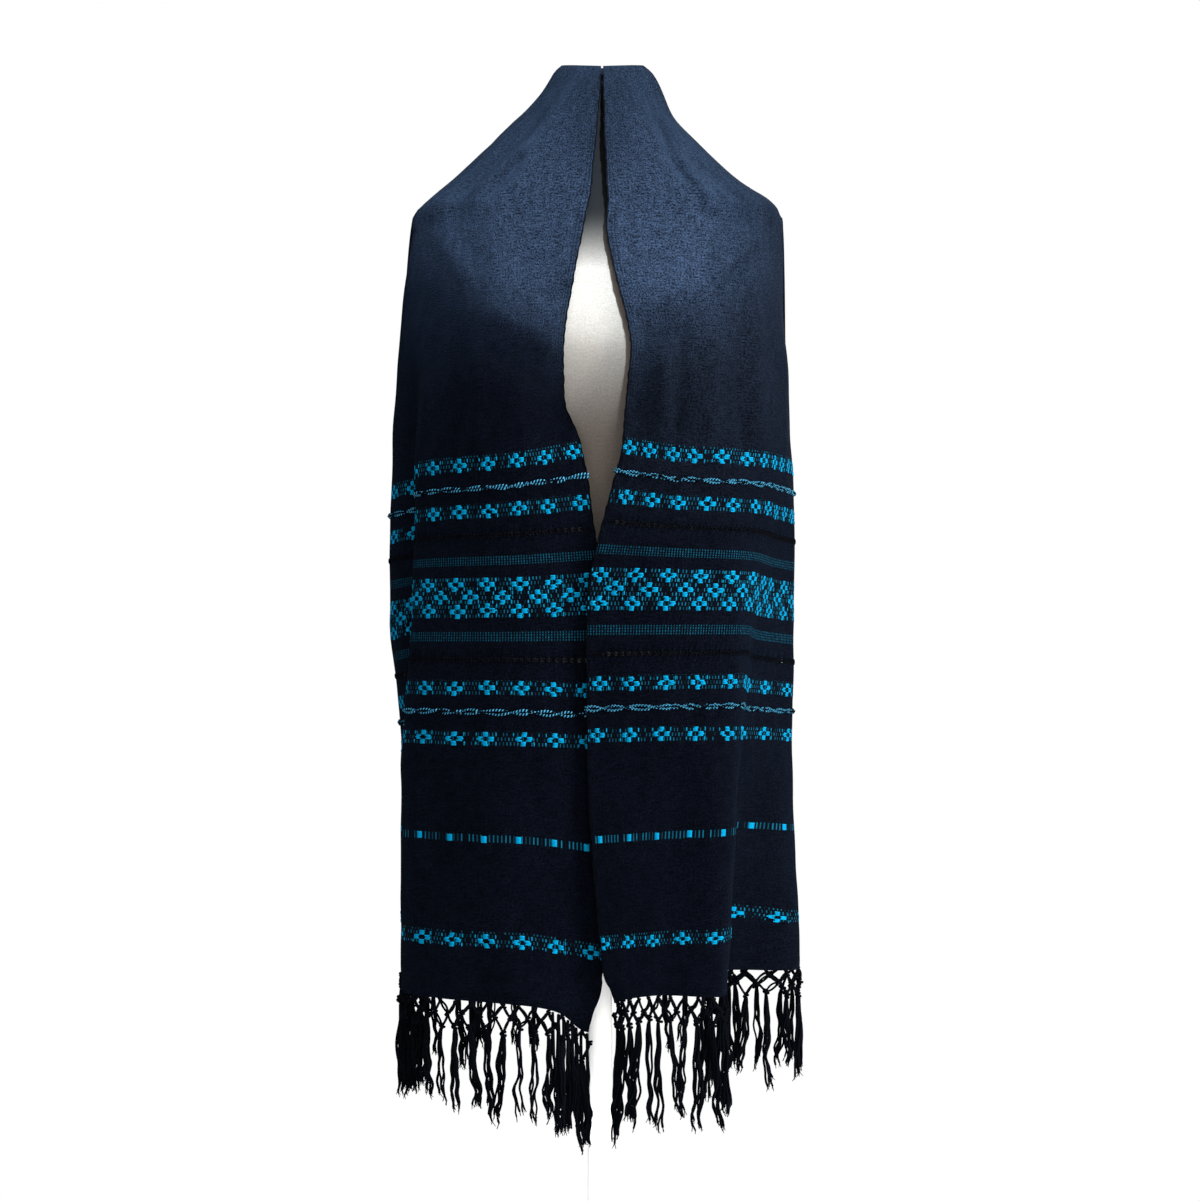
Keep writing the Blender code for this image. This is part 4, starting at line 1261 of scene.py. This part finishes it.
    def build(self, material: Material) -> Object:
        """Make the whole cloth as one sheet.

        Args:
            material: its finish.

        Returns:
            The piece.
        """
        heights = self.heights()
        right, left = (self.front(side, heights) for side in (Side.RIGHT, Side.LEFT))
        self.panels = {Side.RIGHT: right, Side.LEFT: left}
        shown = slice(int(np.argmin(np.abs(heights - BACK_HEM_HEIGHT))) + 1)
        back, inward = self.back(heights[shown])
        yoke = heights[shown] >= SHOULDER - RIGHT_HEM - 1e-6
        for panel, column in ((right, 0), (left, -1)):
            shared = 0.5 * (panel.points[shown][yoke, -1] + back[yoke, column])
            panel.points[shown][yoke, -1] = shared
            back[yoke, column] = shared
        right_pleat = self.pleat(right.points[shown, -1], back, inward)
        left_pleat = self.pleat(left.points[shown, -1], back[:, ::-1], inward[:, ::-1])[:, ::-1]
        behind = np.concatenate([right_pleat, back, left_pleat], axis=1)
        mesh = self.sew(heights, {"right": (right.points, right.across),
                                  "back": (behind, run_along(behind[-1])),
                                  "left": (left.points[:, ::-1], left.across[::-1])})
        mesh.shade_smooth()
        mesh.materials.append(material)
        cloth = new_object("rebozo_cloth", mesh)
        wall = cloth.modifiers.new("Wall", "SOLIDIFY")
        wall.thickness, wall.offset, wall.use_even_offset = self.wall, -1.0, False
        apply_modifiers(cloth)
        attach(cloth, "root")
        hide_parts("shawl_right_front", "shawl_left_front", "shawl_back")
        return cloth


# Yarns laid on the cloth

@dataclass
class YarnWork:
    """Yarns laid on one hanging end, made as a single piece."""

    title: str
    seed: int

    def lay(self, panel: Panel, bag: YarnBag, rng: Generator) -> None:
        """Put the yarns in a bag.

        Args:
            panel: the end that they lie on.
            bag: where they go.
            rng: source of their unevenness.
        """
        raise NotImplementedError

    def make(self, panel: Panel, material: Material) -> Object:
        """Make one end's yarns as a single piece that rides the root."""
        bag = YarnBag(f"{self.title}_{panel.side.name.lower()}")
        self.lay(panel, bag, np.random.default_rng(self.seed + panel.side.value))
        piece = bag.build(material)
        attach(piece, "root")
        return piece

    def build(self, panel: Panel, material: Material) -> Object:
        """Make one end's yarns.

        Args:
            panel: the end that they lie on.
            material: their finish.

        Returns:
            The piece.
        """
        piece = self.make(panel, material)
        return piece


@dataclass
class Brocade(YarnWork):
    """Turquoise weft floats that make the motifs and the dash row's blocks."""

    title: str = "brocade"
    seed: int = 11
    row_pitch: float = 0.00150       # between neighbouring floats
    half_thread: float = 0.00078
    half_pick: float = 0.00052
    proud: float = 0.00040
    sunk: float = 0.9                # how far a float reaches inwards, as a share of that
    jitter: float = 0.0004
    bare_edge: float = 0.008         # what stays empty at the outer selvage
    half_block: float = 0.0027
    block_pitch: float = 0.00125
    block_tone: float = 0.85
    float_tone: tuple[float, float] = (0.86, 0.13)
    pick_tone: tuple[float, float] = (0.62, 0.15)
    pick_chance: float = 0.88        # that an upright pick is there

    def shapes(self, panel: Panel, starts: tuple[Array, Array], stops: tuple[Array, Array],
               upright: bool) -> Array:
        """Shape many floats or upright picks at once.

        Args:
            panel: the end that they lie on.
            starts: where each begins, across and up the cloth.
            stops: where each stops.
            upright: whether they are upright picks.

        Returns:
            Ten vertices for each, shape (n, 10, 3).
        """
        (u0, w0), (u1, w1) = starts, stops
        first, last = (0.2, 0.8) if upright else (0.07, 0.93)
        made = []
        for share, full in ((0.0, False), (first, True), (last, True), (1.0, False)):
            here, sideways, upward, outward = panel.frame_at(u0 + (u1 - u0) * share, w0 + (w1 - w0) * share)
            broad = sideways * self.half_pick if upright else upward * self.half_thread
            centre = here + outward * (0.25 * self.proud * (1.0 if full else 0.2))
            if full:
                made += [centre + broad, centre + outward * self.proud, centre - broad,
                         centre - outward * self.proud * self.sunk]
            else:
                made.append(centre)
        return np.stack(made, axis=1)

    @staticmethod
    def tone(rng: Generator, usual: tuple[float, float]) -> float:
        """Draw a tone by its mean and its spread."""
        return float(np.clip(rng.normal(*usual), 0.1, 1.0))

    def motif(self, centre: float, height: float, flip: float, rng: Generator) -> list:
        """List one motif's floats as start, stop, height and tone."""
        floats = [(start, stop, row) for row in range(-4, 5) for start, stop in MOTIF_ROWS[min(abs(row), 2)]]
        lean = rng.normal(0.0, 0.00009)
        size = 1.0 + rng.normal(0.0, 0.04)
        made = []
        for start, stop, row in floats:
            shift = rng.normal(0.0, self.jitter) + lean * row
            low, high = sorted((flip * start * size, flip * stop * size))
            made.append((centre + low + shift, centre + high + shift, height + row * self.row_pitch,
                         self.tone(rng, self.float_tone)))
        return made

    def serif(self, centre: float, height: float, flip: float, rng: Generator) -> list:
        """List the thin upright picks beside a motif as place, bottom, top and tone."""
        made = []
        for aside, low, high in SERIFS:
            if rng.random() < self.pick_chance:
                x = centre + flip * aside + rng.normal(0.0, 0.0003)
                made.append((x, height + low, height + high, self.tone(rng, self.pick_tone)))
        return made

    def chart(self, panel: Panel, rng: Generator) -> tuple[Array, Array]:
        """Chart every band's floats and upright picks, one in each row."""
        index = 0 if panel.side is Side.RIGHT else 1
        flip = float(panel.side.value)
        rows, picks = [], []
        for band in BANDS:
            if band.kind is Inlay.CHECKS:
                continue
            start, pitch = band.starts[index], band.pitches[index]
            for number, level in enumerate(band.rows or (0.0,)):
                place = start + (pitch / 2.0 if number == 1 else 0.0)
                while place < panel.width - self.bare_edge:
                    centre = place + rng.normal(0.0, 0.0009)
                    height = band.height + level + rng.normal(0.0, 0.0003)
                    if band.kind is Inlay.MOTIFS:
                        rows += self.motif(centre, height, flip, rng)
                        picks += self.serif(centre, height, flip, rng)
                    else:
                        rows += [(centre - self.half_block, centre + self.half_block,
                                  height + k * self.block_pitch, self.block_tone) for k in (-2, -1, 0, 1, 2)]
                    place += pitch
        return (np.array([row for row in rows if row[0] > -0.001]),
                np.array([row for row in picks if row[0] > 0.001]))

    def lay(self, panel: Panel, bag: YarnBag, rng: Generator) -> None:
        """Lay the floats and the picks of one end."""
        floats, picks = (table.T for table in self.chart(panel, rng))
        (begin, end, level, tone), (place, low, high, pick_tone) = floats, picks
        shapes = np.concatenate([self.shapes(panel, (begin, level), (end, level), upright=False),
                                 self.shapes(panel, (place, low), (place, high), upright=True)])
        ring = ((1, 2), (2, 3), (3, 4), (4, 1))
        faces = np.array([(a, b, b + 4, a + 4) for a, b in ring] + [(b, a, 0, 0) for a, b in ring]
                         + [(a + 4, b + 4, 9, 9) for a, b in ring])
        around = np.array([0.5, 0.0, 0.25, 0.5, 0.75, 0.0, 0.25, 0.5, 0.75, 0.5])
        for shape, span, shade in zip(shapes, np.concatenate([end - begin, high - low]),
                                      np.concatenate([tone, pick_tone])):
            along = np.array([0.0] + [0.16 * span] * 4 + [0.84 * span] * 4 + [span])
            bag.add(shape, faces, np.stack([around, along + shade], axis=1), float(shade))


@dataclass
class RopeLines(YarnWork):
    """Two thick plied wefts that cross each other along each rope line."""

    title: str = "rope_lines"
    seed: int = 5
    radius: float = 0.00116
    swing: float = 0.0017
    period: float = 0.048
    step: float = 0.0020
    sides: int = 8
    dive_gaps: tuple[float, float] = (0.015, 0.029)      # between places where cords go under
    dive_pitch: float = 0.022
    dive_half: float = 0.0024
    wrap_pitch: float = 0.014        # usual distance between the black wraps

    def lay(self, panel: Panel, bag: YarnBag, rng: Generator) -> None:
        """Lay the cords of both lines, and the black yarn round them."""
        across = np.arange(-0.0016, panel.width - 0.001, self.step)
        for height in ROPE_HEIGHTS:
            begin = rng.uniform(0.0, TURN)
            wobble = rng.uniform(0.0, TURN, 3)
            dives = np.cumsum(rng.uniform(*self.dive_gaps, round(panel.width / self.dive_pitch)))
            dive = np.exp(-((across[:, None] - dives) / self.dive_half) ** 2).sum(axis=1)
            here, _, upward, outward = panel.frame_at(across, height)
            for cord in (0, 1):
                phase = begin + cord * np.pi + TURN * across / self.period
                phase = phase + 0.7 * np.sin(across / 0.021 + wobble[0])
                rise = (self.swing * np.cos(phase) * (1.0 - 0.6 * dive)
                        + 0.0005 * np.sin(across / 0.008 + wobble[1 + cord]))
                out = self.radius * (0.15 + 1.1 * (0.5 + 0.5 * np.sin(phase)) - 2.0 * dive)
                path = here + upward * rise[:, None] + outward * out[:, None]
                size = self.radius * (1.0 + 0.14 * np.sin(across / 0.0035 + wobble[1]))
                bag.tube(path, size, self.sides, float(rng.uniform(0.80, 1.0)), start=0.0016 * cord)
            for _ in range(round(panel.width / self.wrap_pitch)):
                self.wrap(panel, height, bag, rng)

    def wrap(self, panel: Panel, height: float, bag: YarnBag, rng: Generator) -> None:
        """Lay one short black yarn over the cords, its ends in the cloth."""
        place = rng.uniform(0.0, panel.width - 0.012)
        span = np.linspace(0.0, rng.uniform(0.006, 0.013), 7)
        here, _, upward, outward = panel.frame_at(place + span, height)
        lean = rng.uniform(-0.0030, 0.0030) * np.linspace(-1.0, 1.0, 7)
        arch = np.sin(np.linspace(0.05, 0.95, 7) * np.pi)
        path = here + upward * lean[:, None] + outward * (self.radius * (0.1 + 1.7 * arch))[:, None]
        bag.tube(path, self.radius * 0.80, 6, -1.0)


@dataclass
class OpenworkThreads(YarnWork):
    """Dark threads that cross the openwork's holes and bind its bars."""

    title: str = "openwork_threads"
    seed: int = 3
    radius: float = 0.00034
    bar_radius: float = 0.00062
    pitch: float = 0.0072
    half_bar: float = 0.0027         # height of a bar's half
    swell: tuple[float, ...] = (0.5, 0.9, 1.0, 0.9, 1.0, 0.9, 0.5)

    def lay(self, panel: Panel, bag: YarnBag, rng: Generator) -> None:
        """Lay the strands along both lines and a bar every half pitch."""
        for height in OPENWORK_HEIGHTS:
            across = np.arange(0.002, panel.width - 0.004, 0.0012)
            here, _, upward, outward = panel.frame_at(across, height)
            for strand in (0, 1):
                phase = TURN * across / self.pitch + strand * np.pi
                path = (here + upward * (0.0009 * np.sin(phase))[:, None]
                        + outward * (0.0001 + 0.0003 * np.cos(phase))[:, None])
                bag.tube(path, self.radius, 5, float(rng.uniform(0.2, 0.8)))
            spots = np.linspace(-self.half_bar, self.half_bar, len(self.swell))
            place = 2.0 * self.half_bar
            while place < panel.width - 0.006:
                tip = rng.normal(0.0019, 0.0003)
                here, _, _, outward = panel.frame_at(place + tip * (1.0 - np.abs(spots) / self.half_bar),
                                                     height + spots + rng.normal(0.0, 0.0002))
                path = here + outward * (0.0002 + 0.0004 * np.cos(spots / 0.0018))[:, None]
                bag.tube(path, self.bar_radius * np.array(self.swell), 5, float(rng.uniform(0.0, 0.4)))
                place += self.pitch / 2.0


@dataclass
class Selvages(YarnWork):
    """Thin cord-like inner and outer selvages of one end, and loose lint ends."""

    title: str = "selvages"
    seed: int = 23
    radius: float = 0.00085
    step: float = 0.004
    stretch: tuple[float, float] = (0.001, 0.937)        # heights of the inner selvage's ends
    inset: float = 0.0004
    sunk: float = 0.0003
    lint_count: int = 110
    lint_radius: float = 0.00012

    def lay(self, panel: Panel, bag: YarnBag, rng: Generator) -> None:
        """Lay both selvages and the lint."""
        low, high = self.stretch
        heights = np.arange(low, high, self.step)
        here, sideways, _, outward = panel.frame_at(self.inset, heights)
        bumps = 0.00035 * np.sin(heights / 0.0021) + 0.00030 * np.sin(heights / 0.0083 + 1.0)
        path = here + sideways * bumps[:, None] - outward * self.sunk
        bag.tube(path, self.radius * (1.0 + 0.2 * np.sin(heights / 0.0034)), 6, 0.5)
        heights = np.arange(low, BACK_HEM_HEIGHT - 0.004, self.step)
        here, _, _, outward = panel.frame_at(panel.width - self.inset, heights)
        bag.tube(here - outward * self.sunk, self.radius, 6, 0.5)
        lift = 0.0003 + 0.0004 * np.cos(np.linspace(-1.2, 1.2, 4))
        for _ in range(self.lint_count):
            across, height = rng.uniform(0.01, panel.marks["side"]), rng.uniform(0.02, 0.90)
            turn, length = rng.uniform(0.0, np.pi), rng.uniform(0.0015, 0.0045)
            run = np.linspace(-0.5, 0.5, 4) * length
            here, _, _, outward = panel.frame_at(across + run * math.cos(turn),
                                                 height + run * math.sin(turn))
            bag.tube(here + outward * lift[:, None], self.lint_radius, 4, 1.0)


@dataclass
class KnottedFringe(YarnWork):
    """Warp ends of one hem, knotted into a net, with bundles of loose yarns."""

    title: str = "knotted_fringe"
    seed: int = 41
    pitch: float = 0.0148
    depths: tuple[float, float, float] = (0.0018, 0.0130, 0.0245)  # of hem knots, upper and lower knots
    cord: float = 0.00120            # radius of each of a cord's two yarns
    yarn: float = 0.00135            # radius of a bundle's yarns
    coil: tuple[float, float, float] = (0.00175, 0.00125, 0.0023)  # a knot's radius, cord, half height
    crowd: int = 8                   # loose bundles behind the net at the right end's inner corner
    crowd_width: float = 0.05
    steps: int = 20

    def build(self, panel: Panel, material: Material) -> Object:
        """Make one end's fringe as a single piece that stands for its solid."""
        piece = self.make(panel, material)
        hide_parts(FRINGE_NODES[panel.side])
        return piece

    @staticmethod
    def reach(panel: Panel, across: float) -> float:
        """Give a bundle's length from the woven end, by its place on the hem."""
        stops = (0.0, 0.03, *(panel.marks[name] for name in ("breast", "corner", "side", "end")))
        return float(np.interp(across, stops, FRINGE_LENGTHS[panel.side]))

    @staticmethod
    def hang(panel: Panel, across: float, depth: float, aside: float = 0.0, out: float = 0.0) -> Array:
        """Place a point under the hem.

        Args:
            panel: the end that the fringe hangs from.
            across: distance from the inner selvage.
            depth: distance below the woven end.
            aside: how far it is moved across.
            out: how far it is moved outwards.

        Returns:
            The point.
        """
        inside = float(np.clip(across, 0.0, panel.width))
        here, sideways, _, outward = (v[0] for v in panel.frame_at(inside, float(panel.heights[-1])))
        return (here + sideways * LEVEL * (aside + (across - inside)) + outward * LEVEL * (out - 0.0005)
                - UP * depth)

    def join(self, bag: YarnBag, rng: Generator, start: Array, stop: Array) -> None:
        """Run two slightly slack yarns between two knots."""
        t = np.linspace(0.0, 1.0, 7)[:, None]
        tone = float(rng.uniform(0.1, 1.0))
        for _ in (0, 1):
            slack = rng.normal(0.0, 0.0011, 3) * np.sin(np.pi * t)
            bag.tube(start * (1.0 - t) + stop * t + slack, self.cord * rng.uniform(0.85, 1.2), 6, tone)

    def knot(self, bag: YarnBag, rng: Generator, centre: Array,
             sizes: tuple[float, float]) -> None:
        """Tie a small overhand knot: a fat short coil round its cords."""
        size = float(rng.uniform(*sizes))
        wide, thick, half = self.coil
        turn = np.linspace(0.0, 3.4 * np.pi, 18) + rng.uniform(0.0, 6.0)
        rise = np.linspace(half, -half, 18) * size
        tilt = rng.normal(0.0, 0.35)
        path = np.stack([wide * size * np.cos(turn) + tilt * rise, wide * size * np.sin(turn), rise], axis=1)
        bag.tube(centre + path, thick * size, 6, float(rng.uniform(0.1, 0.9)))

    def lay(self, panel: Panel, bag: YarnBag, rng: Generator) -> None:
        """Tie the net under one hem and hang the bundles from it."""
        count = round(panel.width / self.pitch)
        pitch = panel.width / count
        hem, upper, lower = self.depths
        centres = [(i + 0.5) * pitch for i in range(count)]
        tops = [self.hang(panel, centre, hem) for centre in centres]
        uppers = [self.hang(panel, i * pitch + rng.normal(0.0, 0.0010), upper + rng.normal(0.0, 0.0013),
                            out=rng.normal(0.0, 0.0008)) for i in range(count + 1)]
        lows = [self.hang(panel, centre + rng.normal(0.0, 0.0014), lower + rng.normal(0.0, 0.0020),
                          out=rng.normal(0.0, 0.0012)) for centre in centres]
        for spots, sizes in ((tops, (0.75, 0.95)), (uppers, (0.95, 1.2))):
            for spot in spots:
                self.knot(bag, rng, spot, sizes)
        for top, low, *beside in zip(tops, lows, uppers, uppers[1:]):
            for spot in beside:
                self.join(bag, rng, top, spot)
                self.join(bag, rng, spot, low)
            self.knot(bag, rng, low, (1.05, 1.35))
        is_right = panel.side is Side.RIGHT
        leans = rng.normal(0.0, 0.0042, count)
        for middle, low, lean in zip(centres, lows, leans):
            tip = self.reach(panel, middle) * (1.0 + rng.normal(0.0, 0.05))
            yarns = 12 if is_right and middle < self.crowd_width else int(rng.integers(4, 8))
            self.bundle(panel, bag, rng, (middle, tip, float(lean)), low, yarns)
        for middle in np.linspace(0.0015, 0.047, self.crowd) if is_right else ():
            start = self.hang(panel, middle, 0.0, out=-0.0005)
            tip = float(rng.uniform(0.088, 0.120))
            self.bundle(panel, bag, rng, (float(middle), tip, float(rng.normal(0.0, 0.004))), start, 3)

    def bundle(self, panel: Panel, bag: YarnBag, rng: Generator,
               place: tuple[float, float, float], start: Array, yarns: int) -> None:
        """Hang one bundle of loose, wavy yarns with frayed tips.

        Args:
            panel: the end that it hangs from.
            bag: where its yarns go.
            rng: source of its unevenness.
            place: its place across the hem, its length from the woven end and
                how far its tip leans aside.
            start: the knot that it hangs from.
            yarns: how many yarns it has.
        """
        middle, tip, lean = place
        share = np.linspace(0.0, 1.0, self.steps)
        base = self.hang(panel, middle, 0.0)
        right = self.hang(panel, middle, 0.0, aside=1.0) - base
        outward = self.hang(panel, middle, 0.0, out=1.0) - base
        waves = rng.uniform(0.0, TURN, 3)
        size = rng.uniform(0.0008, 0.0026)
        aside = (lean * share ** 1.2 + size * share * np.sin(TURN * share * 1.5 + waves[0])
                 + 0.0011 * np.sin(TURN * share * 3.7 + waves[1]) * share)
        out = 0.0024 * share * np.sin(TURN * share * 1.2 + waves[2])
        tone = float(rng.uniform(0.1, 0.8))
        wide = 0.00085 * math.sqrt(yarns) + 0.0005
        meet = smoothstep(share / 0.10)[:, None]
        for number in range(yarns):
            turn = TURN * (number / yarns + 0.55 * share * rng.uniform(0.4, 1.4)) + rng.uniform(0.0, 1.5)
            loose = wide * (0.55 + 0.75 * smoothstep(share / 0.5)) * rng.uniform(0.55, 1.35)
            own = rng.uniform(0.0, TURN)
            stray = 0.0009 * share * np.sin(TURN * share * rng.uniform(1.0, 3.0) + own)
            length = (tip - self.depths[2]) * float(np.clip(rng.normal(0.97, 0.05), 0.78, 1.05))
            depth = self.depths[2] + 0.0015 + length * share
            path = (base + right * (aside + loose * np.cos(turn) + stray)[:, None]
                    + outward * (out + 0.8 * loose * np.sin(turn))[:, None] - UP * depth[:, None])
            path = path * meet + (start - UP * 0.0015) * (1.0 - meet)
            thick = self.yarn * rng.uniform(0.8, 1.2) * (1.0 - 0.18 * share)
            shade = float(np.clip(tone + rng.normal(0.0, 0.15), 0.0, 1.0))
            bag.tube(path, thick, 5, shade)
            for _ in range(2):
                spread = rng.normal(0.0, 0.0016, 3) * LEVEL
                t = np.linspace(0.0, 1.0, 3)[:, None]
                fibre = path[-1] + spread * t - UP * rng.uniform(0.002, 0.0055) * t
                bag.tube(fibre, 0.00055 * (1.0 - 0.4 * t[:, 0]), 3, shade)


# What the cloth rests on

@dataclass
class DressForm:
    """Limbless torso with a neck, covered in linen."""

    sides: int = 64
    rings: tuple[tuple[float, float, float, float], ...] = (
        (1.4900, 0.034, -0.033, 0.033), (1.4860, 0.041, -0.041, 0.041), (1.4720, 0.044, -0.044, 0.044),
        (1.4400, 0.050, -0.042, 0.048), (1.4150, 0.074, -0.048, 0.056), (1.3850, 0.120, -0.059, 0.068),
        (1.3600, 0.158, -0.071, 0.078), (1.3350, 0.173, -0.090, 0.086), (1.2900, 0.175, -0.109, 0.094),
        (1.2350, 0.169, -0.130, 0.099), (1.2130, 0.165, -0.137, 0.099), (1.1950, 0.162, -0.136, 0.099),
        (1.1400, 0.152, -0.122, 0.095),
        (1.0700, 0.138, -0.106, 0.086), (0.9950, 0.130, -0.094, 0.080), (0.9100, 0.142, -0.099, 0.091),
        (0.8300, 0.156, -0.105, 0.103), (0.7600, 0.158, -0.105, 0.106), (0.7450, 0.152, -0.099, 0.100),
    )                                # height, half width, front and back of each

    def build(self, material: Material) -> Object:
        """Extrude the torso ring by ring from the neck down."""
        bpy.ops.object.select_all(action="DESELECT")
        height, half, front, back = self.rings[0]
        bpy.ops.mesh.primitive_circle_add(vertices=self.sides, radius=1.0, fill_type="NGON",
                                          location=(0.0, 0.0, height))
        torso = bpy.context.active_object
        bpy.ops.object.mode_set(mode="EDIT")
        bpy.ops.mesh.select_all(action="SELECT")
        depth, centre = (back - front) / 2.0, (back + front) / 2.0
        bpy.ops.transform.resize(value=(half, depth, 1.0), center_override=(0.0, 0.0, height))
        bpy.ops.transform.translate(value=(0.0, centre, 0.0))
        for below, wide, low_front, low_back in self.rings[1:]:
            new_depth, new_centre = (low_back - low_front) / 2.0, (low_back + low_front) / 2.0
            bpy.ops.mesh.extrude_region_move(
                TRANSFORM_OT_translate={"value": (0.0, new_centre - centre, below - height)})
            bpy.ops.transform.resize(value=(wide / half, new_depth / depth, 1.0),
                                     center_override=(0.0, new_centre, below))
            height, half, depth, centre = below, wide, new_depth, new_centre
        bpy.ops.mesh.select_all(action="SELECT")
        bpy.ops.mesh.normals_make_consistent(inside=False)
        bpy.ops.object.mode_set(mode="OBJECT")
        soften = torso.modifiers.new("Soften", "SUBSURF")
        soften.levels = soften.render_levels = 2
        apply_modifiers(torso)
        bpy.ops.object.transform_apply(location=True, rotation=True, scale=True)
        bpy.ops.object.shade_smooth()
        torso.name = torso.data.name = "dress_form_linen"
        torso.data.materials.append(material)
        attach(torso, "root")
        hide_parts("dress_form_torso")
        return torso


def paint_stand(material: Material) -> list[Object]:
    """Paint the stand's carried-over solids, which stay as they are."""
    pieces = [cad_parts[name] for name in ("stand_pole", "stand_base")]
    for piece in pieces:
        for slot in piece.material_slots:
            slot.material = material
    return pieces


# The studio

@dataclass(frozen=True)
class Lamp:
    """A soft lamp: a square one of a given side, or a spot if it has an angle."""

    name: str
    place: tuple[float, float, float]
    aim: tuple[float, float, float]
    size: float                      # side of a square lamp, radius of a spot
    power: float
    colour: Colour = (1.0, 1.0, 1.0)
    angle: float = 0.0               # in degrees
    edge: float = 0.28               # how much of a spot's light fades out

    def hang(self) -> Object:
        """Hang the lamp in the scene."""
        data = bpy.data.lights.new(self.name, "SPOT" if self.angle else "AREA")
        data.energy, data.color = self.power, self.colour
        if self.angle:
            data.spot_size, data.spot_blend = math.radians(self.angle), self.edge
            data.shadow_soft_size = self.size
        else:
            data.size = self.size
        light = new_object(self.name, data)
        light.location = self.place
        light.rotation_euler = (Vector(self.aim) - Vector(self.place)).to_track_quat("-Z", "Y").to_euler()
        return light


@dataclass
class Studio:
    """Pale floor, soft lights and the camera."""

    floor_radius: float = 1.05
    eye: tuple[float, float, float] = (0.0, -2.2, 0.956)
    lens: float = 63.41
    air: Colour = (0.85, 0.92, 1.0)  # colour of the light from all round
    air_strength: float = 0.12
    lamps: tuple[Lamp, ...] = (
        Lamp("Top light", (0.08, -0.35, 2.75), (0.0, -0.12, 1.2), 0.6, 20.0, (0.93, 0.98, 1.0)),
        Lamp("Right fill", (2.5, -1.3, 1.5), (0.0, 0.0, 1.0), 1.4, 74.0, (1.0, 0.98, 0.95)),
        Lamp("Left fill", (-2.4, -0.6, 1.1), (0.0, 0.0, 0.9), 1.4, 6.0, (0.94, 0.97, 1.0)),
        Lamp("Front fill", (0.25, -3.0, 1.15), (0.0, 0.0, 0.95), 2.0, 23.0, (1.0, 0.95, 0.90)),
        Lamp("Chest light", (0.40, -1.74, 2.22), (-0.008, -0.10, 1.381), 0.06, 350.0, (0.74, 0.91, 1.0),
             angle=11.5),
        Lamp("Back fill", (0.4, 3.0, 1.9), (0.0, 0.0, 1.0), 2.2, 60.0),
    )
    stand_lamp: Lamp = Lamp("Stand light", (0.0, -2.4, 0.8), (0.0, 0.0, 0.4), 2.0, 180.0)

    def floor(self, material: Material) -> Object:
        """Lay a round floor with a turned-down rim."""
        bpy.ops.object.select_all(action="DESELECT")
        bpy.ops.mesh.primitive_cylinder_add(vertices=96, radius=self.floor_radius, depth=0.02,
                                            location=(0.0, 0.0, -0.0105))
        floor = bpy.context.active_object
        bevel = floor.modifiers.new("Rim", "BEVEL")
        bevel.width, bevel.segments = 0.006, 3
        apply_modifiers(floor)
        bpy.ops.object.transform_apply(location=True, rotation=True, scale=True)
        floor.name = floor.data.name = "studio_floor"
        floor.data.materials.append(material)
        return floor

    def light_stand(self, pieces: list[Object]) -> None:
        """Give the stand a soft light of its own, so that it stays near white.

        Args:
            pieces: what this light alone falls on.
        """
        receivers = bpy.data.collections.new("Stand light receivers")
        for piece in pieces:
            receivers.objects.link(piece)
        self.stand_lamp.hang().light_linking.receiver_collection = receivers

    def lights(self) -> None:
        """Hang the lights and make the surroundings white to the eye."""
        for lamp in self.lamps:
            lamp.hang()
        world = bpy.data.worlds.new("Studio world")
        world.use_nodes = True
        bpy.context.scene.world = world
        kit = NodeKit(world.node_tree)
        background = world.node_tree.nodes["Background"]
        background.inputs["Color"].default_value = (*self.air, 1.0)
        background.inputs["Strength"].default_value = self.air_strength
        backdrop = kit.add("Background", {"Color": (1.0, 1.0, 1.0, 1.0), "Strength": 1.0})
        seen = kit.add("LightPath").outputs["Is Camera Ray"]
        mixed = kit.add("MixShader", {0: seen, 1: background.outputs[0], 2: backdrop.outputs[0]})
        kit.feed(world.node_tree.nodes["World Output"].inputs["Surface"], mixed.outputs[0])
        bpy.context.scene.view_settings.view_transform = "Standard"

    def camera(self) -> Object:
        """Place the camera level in front of the form."""
        data = bpy.data.cameras.new("Camera")
        data.lens, data.sensor_width = self.lens, 36.0
        data.clip_start, data.clip_end = 0.05, 50.0
        camera = new_object("Camera", data)
        camera.location = self.eye
        camera.rotation_euler = (math.radians(90.0), 0.0, 0.0)
        bpy.context.scene.camera = camera
        return camera


def report_piece(piece: Object) -> None:
    """Log a piece's name and how many triangles it has."""
    triangles = sum(len(face.vertices) - 2 for face in piece.data.polygons)
    LOG.info("%s: %d triangles", piece.name, triangles)


def main() -> None:
    """Build, dress and light everything."""
    logging.basicConfig(level=logging.INFO, format="%(name)s %(message)s")
    studio = Studio()
    studio.camera()
    studio.lights()
    studio.floor(STUDIO_FLOOR.build())
    cotton, brocade = NAVY_COTTON.build(), BROCADE_YARN.build()
    rope, dark, charcoal = ROPE_YARN.build(), DARK_YARN.build(), OPENWORK_YARN.build()

    torso = DressForm().build(FORM_LINEN.build())
    stand = paint_stand(STAND_PAINT.build())
    studio.light_stand(stand)
    shawl = ShawlCloth()
    cloth = shawl.build(cotton)
    works = ((Brocade(), brocade), (RopeLines(), rope), (OpenworkThreads(), charcoal),
             (Selvages(), dark), (KnottedFringe(), dark))
    added = []
    for side, panel in shawl.panels.items():
        LOG.info("%s width %.3f", side.name, panel.width)
        added += [work.build(panel, material) for work, material in works]
    for piece in (torso, *stand, cloth, *added):
        report_piece(piece)


if __name__ == "__main__":
    main()
